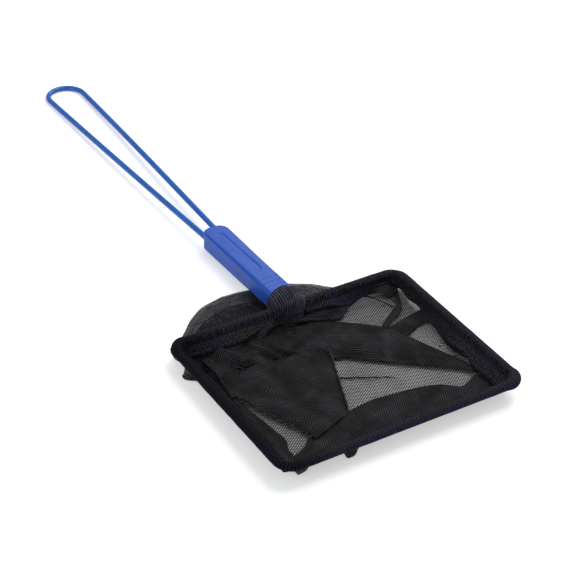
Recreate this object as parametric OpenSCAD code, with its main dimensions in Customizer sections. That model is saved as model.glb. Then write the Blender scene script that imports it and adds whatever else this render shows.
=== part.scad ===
// Fish net for an aquarium: a wire mouth frame with a knit bag, a moulded grip and a hairpin handle.
// X runs along the handle, away from the bag. Y runs across the mouth. Z is up.
// The net lies on a surface. The origin is on that surface, under the middle of the whole net.

/* [Mouth] */
// Width of the mouth, outside the hem
mouth_w = 198; // [140:1:280]
// Depth of the mouth from front to rear, outside the hem
mouth_d = 157; // [120:1:220]
// Bend radius of the frame's corners, on the middle of the wire
corner_r = 10.5; // [9:0.5:16]
// Height of the rear wire above the surface that the net lies on
rear_height = 13; // [12:0.5:16]

/* [Wire] */
// Diameter of the bare steel wire
core_d = 3; // [2.6:0.1:3.4]
// Thickness of the plastic coat on the wire
coat_t = 0.6; // [0.4:0.05:0.8]

/* [Handle] */
// Reach of the handle, from the rear wire of the mouth to the end of the loop
handle_reach = 375; // [260:5:460]
// Bend radius of the loop, on the middle of the wire
loop_r = 15.6; // [12:0.2:22]
// Distance between the middles of the two wires where they leave the grip
leg_gap = 12.6; // [11.6:0.2:13]
// Angle in degrees by which the grip and the handle drop from the plane of the mouth
handle_drop = 0.9; // [0:0.1:1.4]

/* [Grip] */
// Distance from the rear wire of the mouth to the far end of the grip
grip_reach = 110; // [100:1:140]
// Length of the nose that holds the rear wire, in front of that wire
nose_len = 6; // [5:0.5:9]
// Width of the grip at its far end
grip_end_w = 19.5; // [18:0.5:21]
// Width of the grip at its nose
grip_nose_w = 20.5; // [19:0.5:24]
// Height of the upper shell above the middle of the wires
upper_h = 7.5; // [6:0.25:9]
// Depth of the lower shell below the middle of the wires
lower_h = 7; // [6:0.25:8]
// Depth of the lower shell at its nose
nose_h = 5.9; // [4.5:0.1:6]
// Radius of the grip's two far corners, seen from above
end_corner_r = 7.5; // [5:0.5:8.5]
// Length of the bare recess in the upper face
recess_len = 56; // [30:1:60]
// Depth of that recess
recess_depth = 0.5; // [0.2:0.1:0.8]
// Number of finger grooves across the upper face
groove_count = 4; // [1:1:4]
// Distance from one finger groove to the next
groove_pitch = 5; // [4:0.25:5.5]

/* [Hem] */
// Outside diameter of the knitted sleeve round the frame wire
hem_d = 6.5; // [6.2:0.1:8]
// Thickness of the sleeve's wall
sleeve_t = 0.9; // [0.5:0.05:1]
// Length of the sewn band that slopes down and inwards from the wire
band_len = 13; // [8:0.5:15]
// Thickness of the sewn band
band_t = 1.2; // [0.8:0.1:1.6]

/* [Bag] */
// Thickness of the crumpled mesh where it lies on the surface
floor_t = 1.6; // [1:0.1:2.4]
// Upright thickness of the bag's sloping sides
wall_t = 2; // [1.2:0.1:2.6]
// How far the bag reaches out from under the rear of the mouth
lobe_reach = 49; // [30:1:60]
// Height of the main folds above the floor of the bag
fold_h = 4; // [2:0.2:4]

/* [Hidden] */

// Colours
steel_grey = [0.62, 0.64, 0.66];
coat_blue = [0.18, 0.38, 0.71];
grip_blue = [0.27, 0.41, 0.78];
hem_navy = [0.09, 0.09, 0.20];
mesh_black = [0.11, 0.11, 0.12];
thread_black = [0.05, 0.05, 0.06];

// Small clearances and the overrun of every cut
wire_fit = 0.1;
peg_fit = 0.1;
cloth_gap = 0.3;
coat_gap = 0.25;
cut = 1;

// Wire, measured from the rear wire of the mouth
core_r = core_d / 2;
coat_r = core_r + coat_t;
hem_r = hem_d / 2;
sleeve_in_r = max(hem_r - sleeve_t, coat_r + coat_gap);
half_w = mouth_w / 2 - hem_r;
deep = mouth_d - hem_d;

// The handle's loop, and the angle at which its two legs spread towards it
loop_x = handle_reach - coat_r - loop_r;
leg_y = leg_gap / 2;
flare = asin(loop_r / norm([loop_x - grip_reach, leg_y])) - atan2(leg_y, loop_x - grip_reach);
leg_top = [loop_x - loop_r * sin(flare), loop_r * cos(flare), 0];

// Hooks that lock the wires in the grip
hook_r = 3;
leg_hold = 41;
leg_coat_hold = 12;
hook_x = grip_reach - leg_hold;
leg_coat_x = grip_reach - leg_coat_hold;
tail_y = 3.5;
tail_bend_r = 4;
tail_len = 34;
tail_start_y = tail_y + tail_bend_r;

// Tilt of the mouth that lets the end of the loop touch the surface
whole_tilt = asin((rear_height - coat_r) / (handle_reach - coat_r));
tilt = whole_tilt - handle_drop;
front_x = -deep * cos(tilt) - hem_r;
end_x = (handle_reach - coat_r) * cos(whole_tilt) + coat_r;
shift_x = -(front_x + end_x) / 2;

// Edges of the grip
end_bevel = 1;
nose_bevel = 2.8;
under_bevel = 1;
nose_corner_r = 4;
under_skim = 0.1;
under_flat_x = grip_reach / 2;

// Recess, finger grooves and pegs of the grip
recess_end_r = 2.3;
recess_front_r = 3;
recess_from_end = 12;
recess_x = grip_reach - recess_from_end;
groove_r = 1.5;
groove_depth = 0.45;
groove_side = 2.6;
groove_first_x = 30.5;
peg_r = 1.4;
peg_h = 4;
peg_side = 7;
near_peg_share = 0.65;
far_peg_share = 0.83;
peg_places = [
    [tail_len * near_peg_share, peg_side], [tail_len * near_peg_share, -peg_side],
    [grip_reach / 2, 0], [grip_reach * far_peg_share, 0]
];

// Gathered end of the ribbon over the nose of the grip
wrap_t = 1.2;
wrap_front_t = 2.4;
wrap_back_x = 15;
wrap_drop = 4.4;
wrap_bevel = 2.5;
wrap_side = grip_nose_w / 2 + cloth_gap + wrap_t;
wrap_corner_r = nose_corner_r + wrap_front_t;
throat_y = wrap_side + cloth_gap;

// Beads that join the lengths of a wire
bead_half = 0.3;
bead_rise = 0.05;

// Slope of the band: it starts low on the sleeve and ends just above the floor of the bag
band_pitch = 40;
band_start = hem_r * sqrt(2) / 2;
band_under = band_t / 2 / cos(band_pitch);
band_room = rear_height - band_start - floor_t - band_under - 2 * cloth_gap;
band_angle = asin(min(sin(band_pitch), band_room / band_len));
band_run = band_len * cos(band_angle);
band_fall = band_len * sin(band_angle);
band_half_run = band_t / 2 / sin(band_angle);

// Shape of the bag on the surface
rim = 1;
rim_edge_t = 1.5;
mid_x = -deep / 2;
fold_w = 8;
fold_fade = 7;
sag_start = 8;
sag_run = 30;
seam_r = 0.8;
seam_gap = 0.3;
// Each pair is a place across the mouth and how far the bag reaches out behind it there
lobe_shares = [
    [-1, 0.02], [-0.75, 0.12], [-0.62, 0.29], [-0.545, 0.42], [-0.417, 0.65], [-0.27, 0.81], [-0.1, 0.91],
    [0.06, 0.96], [0.16, 0.99], [0.283, 1], [0.39, 0.94], [0.484, 0.87], [0.56, 0.79], [0.648, 0.65],
    [0.765, 0.42], [0.87, 0.22], [0.95, 0.09], [1, 0.02]
];
// How steeply the bag falls from the rear wire to the surface: 1 is a straight slope
lobe_curve = 0.8;
// Each row is a main fold: its two ends as shares of the depth and the half width, then height and width
fold_shares = [
    [0.08, -0.18, 0.38, -0.62, 1, 1.2],
    [0.38, -0.62, 0.76, -0.84, 0.9, 1],
    [0.1, 0.3, 0.36, 0.02, 0.7, 1.3],
    [0.36, 0.02, 0.74, 0.2, 0.6, 0.9],
    [0.16, 0.75, 0.52, 0.5, 0.8, 1],
    [0.52, 0.5, 0.84, 0.32, 0.6, 1.1],
    [0.66, -0.02, 0.88, -0.46, 0.5, 0.8],
    [0.12, -0.86, 0.42, -0.74, 0.6, 0.8]
];
// Turning points of the two seams, as shares of the depth and the half width
right_seam_shares = [[0.5, -0.86], [0.3, -0.4], [0.36, -0.03], [0.73, 0.2]];
left_seam_shares = [[0.5, 0.86], [0.66, 0.66], [0.62, 0.42]];

// Steps round the bag and across it
corner_steps = 3;
side_steps = 10;
front_steps = 14;
rear_steps = 8;
throat_steps = 3;
lobe_rings = [1, 0.7, 0.4];
throat_spread = 1.5;
slope_rings = [0, 0.2, 0.45, 0.7, 1];
floor_ring_shares = [0.14, 0.28, 0.42, 0.56, 0.7, 0.85];
seam_steps = 9;
seam_sides = 6;
$fn = 48;
hull_fn = 32;

// Carries a piece of the mouth to its place on the surface
module in_mouth() {
    translate([shift_x, 0, rear_height]) rotate([0, tilt, 0]) children();
}

// Carries a piece of the grip or the handle to its place
module in_handle() {
    translate([shift_x, 0, rear_height]) rotate([0, whole_tilt, 0]) children();
}

module both_sides() {
    children();
    mirror([0, 1, 0]) children();
}

// A straight length of round stock along X
module bar(length, radius) {
    rotate([0, 90, 0]) cylinder(h = length, r = radius);
}

// A bent length of round stock that starts on X and turns about Z
module bend(bend_r, radius, angle) {
    rotate_extrude(angle = angle) translate([bend_r, 0]) circle(r = radius);
}

// One half of the frame's run, from a place on the rear wire round to the middle of the front wire
module frame_half(radius, start_y) {
    translate([0, start_y, 0]) rotate([0, 0, 90]) bar(half_w - corner_r - start_y, radius);
    translate([-corner_r, half_w - corner_r, 0]) bend(corner_r, radius, 90);
    translate([corner_r - deep, half_w, 0]) bar(deep - 2 * corner_r, radius);
    translate([corner_r - deep, half_w - corner_r, 0]) rotate([0, 0, 90]) bend(corner_r, radius, 90);
    translate([-deep, 0, 0]) rotate([0, 0, 90]) bar(half_w - corner_r, radius);
}

// A slight bead round the place where two lengths of a wire meet
module bead(radius) {
    rotate([0, 90, 0]) cylinder(h = 2 * bead_half, r = radius + bead_rise, center = true);
}

// One tail of the frame wire: it bends back into the grip and ends in a hook
module frame_tail(radius) {
    translate([0, tail_start_y, 0]) rotate([0, 0, 90]) bead(radius);
    translate([tail_bend_r, tail_start_y, 0]) rotate([0, 0, 180]) bend(tail_bend_r, radius, 90);
    translate([tail_bend_r, tail_y, 0]) bar(tail_len, radius);
    translate([tail_bend_r + tail_len, tail_y + hook_r, 0]) rotate([0, 0, 270]) bend(hook_r, radius, 90);
}

// The hairpin of the handle, with its legs running in as far as end_x
module hairpin(radius, end_x) {
    translate([loop_x, 0, 0]) rotate([0, 0, -90 - flare]) bend(loop_r, radius, 180 + 2 * flare);
    both_sides() translate(leg_top) rotate([0, 0, 180 + flare]) {
        bar((leg_top[0] - end_x) / cos(flare), radius);
        bead(radius);
    }
}

// The hook at the inner end of one leg of the hairpin
module leg_hook(radius) {
    hook_y = leg_top[1] - (leg_top[0] - hook_x) * tan(flare);
    translate([hook_x + hook_r * sin(flare), hook_y - hook_r * cos(flare), 0])
        rotate([0, 0, 90 + flare]) bend(hook_r, radius, 90);
    translate([hook_x, hook_y, 0]) rotate([0, 0, 180 + flare]) bead(radius);
}

module handle_wire_core() {
    color(steel_grey) in_handle() {
        hairpin(core_r, hook_x);
        both_sides() leg_hook(core_r);
    }
}

module handle_wire_coating() {
    color(coat_blue) in_handle() difference() {
        hairpin(coat_r, leg_coat_x);
        hairpin(core_r, leg_coat_x - cut);
    }
}

module frame_wire_core() {
    color(steel_grey) {
        in_mouth() both_sides() frame_half(core_r, tail_start_y);
        in_handle() both_sides() frame_tail(core_r);
    }
}

module frame_wire_coating() {
    color(coat_blue) in_mouth() both_sides() difference() {
        frame_half(coat_r, tail_start_y);
        frame_half(core_r, tail_start_y - cut);
        translate([-deep, 0, 0]) rotate([0, 0, -90]) bar(cut, core_r);
    }
}

// One corner of the grip: an upright post whose outer rim is bevelled
module post(place, radius, height, bevel) {
    translate([place[0], place[1], 0]) {
        cylinder(h = height - bevel, r = radius, $fn = hull_fn);
        translate([0, 0, height - bevel])
            cylinder(h = bevel, r1 = radius, r2 = radius - bevel, $fn = hull_fn);
    }
}

// The outer form of one half of the grip, standing on the plane of the wires
module grip_form(end_h, front_h, far_bevel, near_bevel, spare) {
    flat_share = (under_flat_x + nose_len) / (grip_reach + nose_len);
    flat_half = grip_nose_w / 2 + (grip_end_w - grip_nose_w) / 2 * flat_share;
    hull() both_sides() {
        post([grip_reach - end_corner_r, grip_end_w / 2 - end_corner_r], end_corner_r + spare,
            end_h + spare, far_bevel);
        post([under_flat_x, flat_half - nose_corner_r], nose_corner_r + spare,
            end_h + spare, far_bevel + (near_bevel - far_bevel) * (1 - flat_share));
        post([nose_corner_r - nose_len, grip_nose_w / 2 - nose_corner_r], nose_corner_r + spare,
            front_h + spare, near_bevel);
    }
}

// Room for the wires inside the grip
module wire_channels() {
    both_sides() {
        frame_tail(core_r + wire_fit);
        translate([0, tail_start_y - wire_fit, 0]) rotate([0, 0, 90])
            bar(grip_nose_w / 2, coat_r + wire_fit);
        leg_hook(core_r + wire_fit);
    }
    hairpin(core_r + wire_fit, hook_x);
    hairpin(coat_r + wire_fit, leg_coat_x - wire_fit);
}

module recess() {
    hull() {
        translate([recess_x - recess_end_r, 0, 0])
            cylinder(h = recess_depth + cut, r = recess_end_r, $fn = hull_fn);
        translate([recess_x - recess_len + recess_front_r, 0, 0])
            cylinder(h = recess_depth + cut, r = recess_front_r, $fn = hull_fn);
    }
}

module finger_grooves() {
    groove_half = grip_nose_w / 2 - groove_side;
    for (i = [0 : groove_count - 1])
        translate([groove_first_x - i * groove_pitch, 0, groove_r - groove_depth]) rotate([90, 0, 0])
            cylinder(h = 2 * groove_half, r = groove_r, center = true);
}

module grip_upper_shell() {
    color(grip_blue) in_handle() difference() {
        grip_form(upper_h, upper_h, end_bevel, nose_bevel, 0);
        wire_channels();
        translate([0, 0, upper_h - recess_depth]) recess();
        translate([0, 0, upper_h]) finger_grooves();
        for (place = peg_places)
            translate([place[0], place[1], -cut])
                cylinder(h = peg_h + 2 * peg_fit + cut, r = peg_r + peg_fit);
    }
}

module grip_lower_shell() {
    color(grip_blue) in_handle() {
        difference() {
            mirror([0, 0, 1]) grip_form(lower_h + under_skim, nose_h, under_bevel, under_bevel, 0);
            wire_channels();
            translate([-grip_reach, -grip_nose_w, -2 * lower_h])
                cube([3 * grip_reach, 2 * grip_nose_w, lower_h]);
        }
        for (place = peg_places)
            translate([place[0], place[1], 0]) cylinder(h = peg_h, r = peg_r);
    }
}

// A thin plate that follows the mouth, drawn in by inset
module mouth_plate(inset, level) {
    plate_r = max(corner_r - inset, band_t);
    plate_t = band_t / 4;
    for (x = [-inset - plate_r, inset + plate_r - deep])
        for (y = [-1, 1])
            translate([x, y * (half_w - inset - plate_r), level])
                cylinder(h = plate_t, r = plate_r, $fn = hull_fn);
}

// The sewn band: a sloping funnel inside the four wires
module hem_band() {
    over = cut / tan(band_angle);
    difference() {
        hull() {
            mouth_plate(band_start - band_half_run, -band_start);
            mouth_plate(band_start + band_run - band_half_run, -band_start - band_fall);
        }
        hull() {
            mouth_plate(band_start + band_half_run - over, cut - band_start);
            mouth_plate(band_start + band_half_run + band_run + over, -band_start - band_fall - cut);
        }
        translate([-wrap_back_x - cut, -throat_y, -rear_height])
            cube([2 * wrap_back_x, 2 * throat_y, 2 * rear_height]);
    }
}

module hem_ribbon() {
    color(hem_navy) in_mouth() {
        both_sides() difference() {
            frame_half(hem_r, throat_y);
            frame_half(sleeve_in_r, throat_y - cut);
            translate([-deep, 0, 0]) rotate([0, 0, -90]) bar(cut, sleeve_in_r);
        }
        hem_band();
    }
}

module throat_wrap() {
    wrap_h = upper_h + cloth_gap + wrap_t;
    color(hem_navy) in_handle() difference() {
        hull() both_sides() {
            translate([0, 0, -wrap_drop])
                post([wrap_corner_r - nose_len - wrap_front_t, wrap_side - wrap_corner_r], wrap_corner_r,
                    wrap_drop + wrap_h, wrap_bevel);
            translate([0, 0, -wrap_drop])
                post([wrap_back_x - nose_corner_r, wrap_side - nose_corner_r], nose_corner_r,
                    wrap_drop + wrap_h - wrap_t / 2, wrap_bevel);
        }
        grip_form(upper_h, upper_h, end_bevel, nose_bevel, cloth_gap);
        mirror([0, 0, 1]) grip_form(wrap_drop + cut, wrap_drop + cut, under_bevel, under_bevel, cloth_gap);
        both_sides() translate([0, tail_start_y, 0]) rotate([0, 0, 90])
            bar(wrap_side, coat_r + coat_gap);
    }
}

// Height of the surface under the net, seen from the plane of the mouth
function surface_z(x) = (x * sin(tilt) - rear_height) / cos(tilt);

// Distance inwards from the frame wire, negative outside it
function inset_at(x, y) =
    let (qx = abs(x - mid_x) - (deep / 2 - corner_r), qy = abs(y) - (half_w - corner_r))
    corner_r - norm([max(qx, 0), max(qy, 0)]) - min(max(qx, qy), 0);

// Reach of the bag behind the rear wire
function lobe_at(y) = lobe_reach * lookup(y / half_w, lobe_shares);

// How near a point is to a line between two others, from 0 on it to 1 and more
function line_gap(p, a, b, width) =
    let (ab = b - a, share = min(1, max(0, (p - a) * ab / (ab * ab)))) norm(p - a - ab * share) / width;

function mouth_place(share_x, share_y) = [-deep * share_x, half_w * share_y];

// Height of the folds: they start clear of the band's lower edge
function fold_at(x, y) =
    let (fade = min(1, max(0, (inset_at(x, y) - band_start - band_run - cloth_gap) / fold_fade)))
    fade * max([
        for (row = fold_shares)
            let (
                ends = [mouth_place(row[0], row[1]), mouth_place(row[2], row[3])],
                gap = line_gap([x, y], ends[0], ends[1], fold_w * row[5])
            )
            fold_h * row[4] * exp(-gap * gap)
    ]);

// Upper side of the bag's slope, just under the sleeve and the band
function slope_at(inset) =
    -max(hem_r, band_start + (inset - band_start) * tan(band_angle) + band_under) - cloth_gap;

// Lower face of the grip with its clearance, seen from the plane of the mouth
function grip_floor(x) =
    let (share = min(1, max(0, (x + nose_len) / (under_flat_x + nose_len))))
    -nose_h - (lower_h - nose_h) * share - x * tan(handle_drop) - 2 * cloth_gap;

function open_top(x, y) =
    x > 0
    ? let (share = min(1, x / max(lobe_at(y), rim)), low = surface_z(x) + rim_edge_t)
        low + (slope_at(0) - low) * pow(1 - share, lobe_curve)
    : max(slope_at(max(0, inset_at(x, y))), surface_z(x) + floor_t + fold_at(x, y));

// The bag passes under the grip and the gathered ribbon
function bag_top(x, y) =
    abs(y) < throat_y + rim && x > -wrap_back_x ? min(open_top(x, y), grip_floor(x)) : open_top(x, y);

// The bag lies on the surface behind, and its sides lift off it further to the front
function bag_bottom(x, y) =
    let (low = surface_z(x), lift = min(1, max(0, (-x - sag_start) / sag_run)))
    low + lift * max(0, slope_at(max(0, inset_at(x, y))) - wall_t - low);

// Places round the mouth: each has its point on the wire and the way outwards
function arc_stations(cx, cy, from) = [
    for (i = [0 : corner_steps])
        let (a = from + 90 * i / corner_steps, way = [cos(a), sin(a)])
        [[cx, cy] + corner_r * way, way]
];
function row_stations(from, to, steps, way) = [
    for (i = [1 : steps - 1]) [from + (to - from) * i / steps, way]
];
side_y = half_w - corner_r;
far_x = corner_r - deep;
stations = concat(
    row_stations([0, -side_y], [0, -throat_y], rear_steps, [1, 0]),
    row_stations([0, -throat_y * throat_spread], [0, throat_y * throat_spread], throat_steps + 2, [1, 0]),
    row_stations([0, throat_y], [0, side_y], rear_steps, [1, 0]),
    arc_stations(-corner_r, side_y, 0),
    row_stations([-corner_r, half_w], [far_x, half_w], side_steps, [0, 1]),
    arc_stations(far_x, side_y, 90),
    row_stations([-deep, side_y], [-deep, -side_y], front_steps, [-1, 0]),
    arc_stations(far_x, -side_y, 180),
    row_stations([far_x, -half_w], [-corner_r, -half_w], side_steps, [0, -1]),
    arc_stations(-corner_r, -side_y, 270)
);
station_count = len(stations);

function out_place(station, share) =
    let (reach = max(rim, station[1][0] > 0 ? lobe_at(station[0][1]) * station[1][0] : rim))
    station[0] + station[1] * reach * share;
function in_place(station, inset) =
    let (to_mid = station[0] - [mid_x, 0]) station[0] - to_mid * inset / (to_mid * station[1]);

slope_w = band_start + (-surface_z(mid_x) - floor_t - band_start - band_under - cloth_gap) / tan(band_angle);
function slope_ring(station, share) = in_place(station, slope_w * share);
function floor_ring(station, share) =
    let (start = slope_ring(station, 1)) start + ([mid_x, 0] - start) * share;

top_rings = concat(
    [for (share = lobe_rings) [for (s = stations) out_place(s, share)]],
    [for (share = slope_rings) [for (s = stations) slope_ring(s, share)]],
    [for (share = floor_ring_shares) [for (s = stations) floor_ring(s, share)]]
);
bottom_rings = concat(
    [[for (s = stations) out_place(s, 1)]],
    [for (share = slope_rings) [for (s = stations) slope_ring(s, share)]]
);

module net_bag() {
    n = station_count;
    top_count = len(top_rings);
    low_count = len(bottom_rings);
    low = top_count * n + 1;
    points = concat(
        [for (ring = top_rings) for (p = ring) [p[0], p[1], bag_top(p[0], p[1])]],
        [[mid_x, 0, bag_top(mid_x, 0)]],
        [for (ring = bottom_rings) for (p = ring) [p[0], p[1], bag_bottom(p[0], p[1])]],
        [[mid_x, 0, surface_z(mid_x)]]
    );
    faces = concat(
        [for (k = [0 : top_count - 2]) for (i = [0 : n - 1]) let (a = k * n + i, b = k * n + (i + 1) % n)
            each [[a, a + n, b + n], [a, b + n, b]]],
        [for (i = [0 : n - 1]) [(top_count - 1) * n + i, top_count * n, (top_count - 1) * n + (i + 1) % n]],
        [for (i = [0 : n - 1]) let (j = (i + 1) % n) each [[i, j, low + j], [i, low + j, low + i]]],
        [for (k = [0 : low_count - 2]) for (i = [0 : n - 1])
            let (a = low + k * n + i, b = low + k * n + (i + 1) % n) each [[a, b, b + n], [a, b + n, a + n]]],
        [for (i = [0 : n - 1]) let (a = low + (low_count - 1) * n)
            [a + i, a + (i + 1) % n, low + low_count * n]]
    );
    color(mesh_black) in_mouth() polyhedron(points, faces);
}

// An overlocked edge that lies on the bag, clear of the band, and follows its turning points
module seam(shares) {
    last = len(shares) - 1;
    side = half_w - band_start - band_run - seam_r - cloth_gap;
    turns = [for (s = shares) let (p = mouth_place(s[0], s[1])) [p[0], max(-side, min(side, p[1]))]];
    path = [
        for (k = [0 : last - 1]) for (i = [0 : seam_steps - 1])
            turns[k] + (turns[k + 1] - turns[k]) * i / seam_steps,
        turns[last]
    ];
    count = len(path);
    ways = [for (i = [0 : count - 1]) let (d = path[min(i + 1, count - 1)] - path[max(i - 1, 0)]) d / norm(d)];
    points = [
        for (i = [0 : count - 1]) for (j = [0 : seam_sides - 1])
            let (
                a = 360 * j / seam_sides,
                off = [-ways[i][1], ways[i][0]] * seam_r * cos(a),
                level = bag_top(path[i][0], path[i][1]) + seam_gap + seam_r
            )
            [path[i][0] + off[0], path[i][1] + off[1], level + seam_r * sin(a)]
    ];
    faces = concat(
        [for (i = [0 : count - 2]) for (j = [0 : seam_sides - 1])
            let (a = i * seam_sides + j, b = i * seam_sides + (j + 1) % seam_sides)
            each [[a, b, b + seam_sides], [a, b + seam_sides, a + seam_sides]]],
        [[for (j = [seam_sides - 1 : -1 : 0]) j]],
        [[for (j = [0 : seam_sides - 1]) (count - 1) * seam_sides + j]]
    );
    color(thread_black) in_mouth() polyhedron(points, faces);
}

module right_bag_seam() {
    seam(right_seam_shares);
}

module left_bag_seam() {
    seam(left_seam_shares);
}

handle_wire_core();
handle_wire_coating();
frame_wire_core();
frame_wire_coating();
grip_upper_shell();
grip_lower_shell();
hem_ribbon();
throat_wrap();
net_bag();
right_bag_seam();
left_bag_seam();
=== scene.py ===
"""Fish net for an aquarium: the looks of its coated wires, moulded grip, knit hem and slack mesh bag.

Lengths in the functions are in millimetres unless they end in _m. Two planes carry the pieces, that of the
mouth and that of the handle. Both meet on the rear wire, and X in both runs from that wire towards the loop.
"""

import math

import bpy
import numpy as np
from mathutils import Matrix, Vector, noise


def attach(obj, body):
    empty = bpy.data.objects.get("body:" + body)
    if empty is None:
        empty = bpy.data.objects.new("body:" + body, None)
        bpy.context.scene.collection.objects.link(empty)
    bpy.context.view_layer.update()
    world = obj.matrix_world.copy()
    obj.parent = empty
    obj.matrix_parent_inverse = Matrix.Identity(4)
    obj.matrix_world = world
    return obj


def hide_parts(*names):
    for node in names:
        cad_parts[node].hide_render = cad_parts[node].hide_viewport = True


bl_info = {
    "name": "Aquarium Fish Net",
    "version": (1, 0, 0),
    "blender": (4, 5, 0),
    "location": "View3D > Sidebar > Fish Net",
    "description": "Dresses the CAD frame of a small hand net: wires, grip, knit hem, mesh bag and stage",
    "category": "Object",
}

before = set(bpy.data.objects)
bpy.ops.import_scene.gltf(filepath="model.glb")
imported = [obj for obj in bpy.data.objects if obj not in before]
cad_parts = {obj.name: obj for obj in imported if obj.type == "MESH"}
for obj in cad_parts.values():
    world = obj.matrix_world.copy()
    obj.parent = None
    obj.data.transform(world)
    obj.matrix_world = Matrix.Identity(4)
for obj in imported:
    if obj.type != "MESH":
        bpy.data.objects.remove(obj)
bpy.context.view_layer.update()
MM = 0.001
TURN = 2 * math.pi


# Sizes and colours that a user may change

def length(name, description, default_mm):
    """A length property, given in millimetres and kept in metres."""
    return bpy.props.FloatProperty(
        name=name, description=description, default=default_mm * MM, min=0.0, unit="LENGTH", precision=4
    )


def colour(name, description, default):
    """A colour property in linear values."""
    return bpy.props.FloatVectorProperty(
        name=name, description=description, default=default, size=3, min=0.0, max=1.0, subtype="COLOR"
    )


class NetFrameSizes(bpy.types.PropertyGroup):
    """Sizes of the wires, the hem and the grip."""

    mouth_w: length("Mouth width", "Width of the mouth outside the hem", 198.0)
    mouth_d: length("Mouth depth", "Depth of the mouth outside the hem", 157.0)
    corner_r: length("Corner radius", "Bend radius of the frame's corners", 10.5)
    rear_height: length("Rear height", "Height of the rear wire above the surface", 13.0)
    wire_r: length("Wire radius", "Radius of the coated wire", 2.1)
    hem_r: length("Hem radius", "Outside radius of the knitted sleeve", 3.25)
    handle_reach: length("Handle reach", "From the rear wire to the end of the loop", 375.0)
    loop_r: length("Loop radius", "Bend radius of the loop on the wire's middle", 15.6)
    leg_gap: length("Leg gap", "Distance between the two wires at the grip", 12.6)
    handle_drop: bpy.props.FloatProperty(
        name="Handle drop", description="Angle between the mouth and the handle", default=math.radians(0.9),
        subtype="ANGLE",
    )
    grip_reach: length("Grip reach", "From the rear wire to the far end of the grip", 110.0)
    nose_len: length("Nose length", "Length of the grip in front of the rear wire", 6.0)
    grip_end_w: length("Grip end width", "Width of the grip at its far end", 19.5)
    grip_nose_w: length("Grip nose width", "Width of the grip at its nose", 20.5)
    upper_h: length("Upper height", "Height of the upper shell above the wires", 7.5)
    lower_h: length("Lower depth", "Depth of the lower shell below the wires", 7.0)
    nose_h: length("Nose depth", "Depth of the lower shell at its nose", 5.4)
    recess_len: length("Recess length", "Length of the bare recess in the upper face", 56.0)
    recess_depth: length("Recess depth", "Depth of that recess", 0.5)


class NetClothSizes(bpy.types.PropertyGroup):
    """Sizes of the ribbon, the mesh and the stitches."""

    mesh_pitch: length("Mesh pitch", "Distance from thread to thread in the mesh", 1.55)
    mesh_thread: length("Mesh thread", "Width of one thread of the mesh", 0.53)
    band_len: length("Band length", "Length of the sewn band below the sleeve", 12.0)
    band_t: length("Band thickness", "Thickness of the sewn band", 0.9)
    rib_pitch: length("Rib pitch", "Distance from rib to rib in the knit ribbon", 1.9)
    stitch_pitch: length("Stitch pitch", "Distance from stitch to stitch along the hem", 3.2)
    thread_r: length("Thread radius", "Radius of the sewing thread", 0.16)
    overlock_pitch: length("Overlock pitch", "Distance from loop to loop along a sewn edge", 2.1)


class NetColours(bpy.types.PropertyGroup):
    """Base colours of the finishes."""

    coat: colour("Wire coat", "Blue coat of the handle's wire", (0.012, 0.120, 0.50))
    grip: colour("Grip", "Blue of the moulded grip", (0.007, 0.082, 0.49))
    ribbon: colour("Ribbon", "Navy of the knit ribbon", (0.0034, 0.0035, 0.0100))
    mesh: colour("Mesh", "Black of the mesh", (0.0058, 0.0058, 0.0064))
    thread: colour("Thread", "Black of the sewing thread", (0.040, 0.040, 0.045))
    steel: colour("Steel", "Bare steel wire", (0.55, 0.56, 0.58))
    floor: colour("Surface", "Pale surface under the net", (0.86, 0.86, 0.85))


def sizes():
    """The frame sizes in millimetres, as plain numbers, with what follows from them."""
    group = bpy.context.scene.net_frame
    s = {key: getattr(group, key) / MM for key in NetFrameSizes.__annotations__ if key != "handle_drop"}
    s["half_w"] = s["mouth_w"] / 2 - s["hem_r"]
    s["deep"] = s["mouth_d"] - 2 * s["hem_r"]
    s["mid_x"] = -s["deep"] / 2
    s["whole_tilt"] = math.asin((s["rear_height"] - s["wire_r"]) / (s["handle_reach"] - s["wire_r"]))
    s["tilt"] = s["whole_tilt"] - group.handle_drop
    front_x = -s["deep"] * math.cos(s["tilt"]) - s["hem_r"]
    end_x = (s["handle_reach"] - s["wire_r"]) * math.cos(s["whole_tilt"]) + s["wire_r"]
    s["shift_x"] = -(front_x + end_x) / 2
    s["throat_y"] = s["grip_nose_w"] / 2 + 2.1
    s["side_y"] = s["half_w"] - s["corner_r"]
    return s


def cloth():
    """The cloth sizes in millimetres."""
    group = bpy.context.scene.net_cloth
    return {key: getattr(group, key) / MM for key in NetClothSizes.__annotations__}


def shades(key, *shares):
    """A base colour at several shares of its strength."""
    base = getattr(bpy.context.scene.net_colours, key)
    return [tuple(min(1, c * share) for c in base) for share in shares]


# Planes of the mouth and the handle

def carry(points, tilt):
    """Points on a tilted plane through the rear wire, brought to the row frame in metres."""
    s = sizes()
    p = np.asarray(points, float).reshape(-1, 3)
    c, n = math.cos(tilt), math.sin(tilt)
    x = p[:, 0] * c + p[:, 2] * n + s["shift_x"]
    z = -p[:, 0] * n + p[:, 2] * c + s["rear_height"]
    return np.stack([x, p[:, 1], z], axis=1) * MM


def in_mouth(points):
    return carry(points, sizes()["tilt"])


def in_handle(points):
    return carry(points, sizes()["whole_tilt"])


def surface_z(x):
    """Height of the surface under the net, seen from the plane of the mouth."""
    s = sizes()
    return (x * math.sin(s["tilt"]) - s["rear_height"]) / math.cos(s["tilt"])


def inset_at(x, y):
    """Distance inwards from the frame's wire, negative outside it."""
    s = sizes()
    qx = np.abs(x - s["mid_x"]) - (s["deep"] / 2 - s["corner_r"])
    qy = np.abs(y) - s["side_y"]
    out = np.hypot(np.maximum(qx, 0), np.maximum(qy, 0))
    return s["corner_r"] - out - np.minimum(np.maximum(qx, qy), 0)


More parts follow.
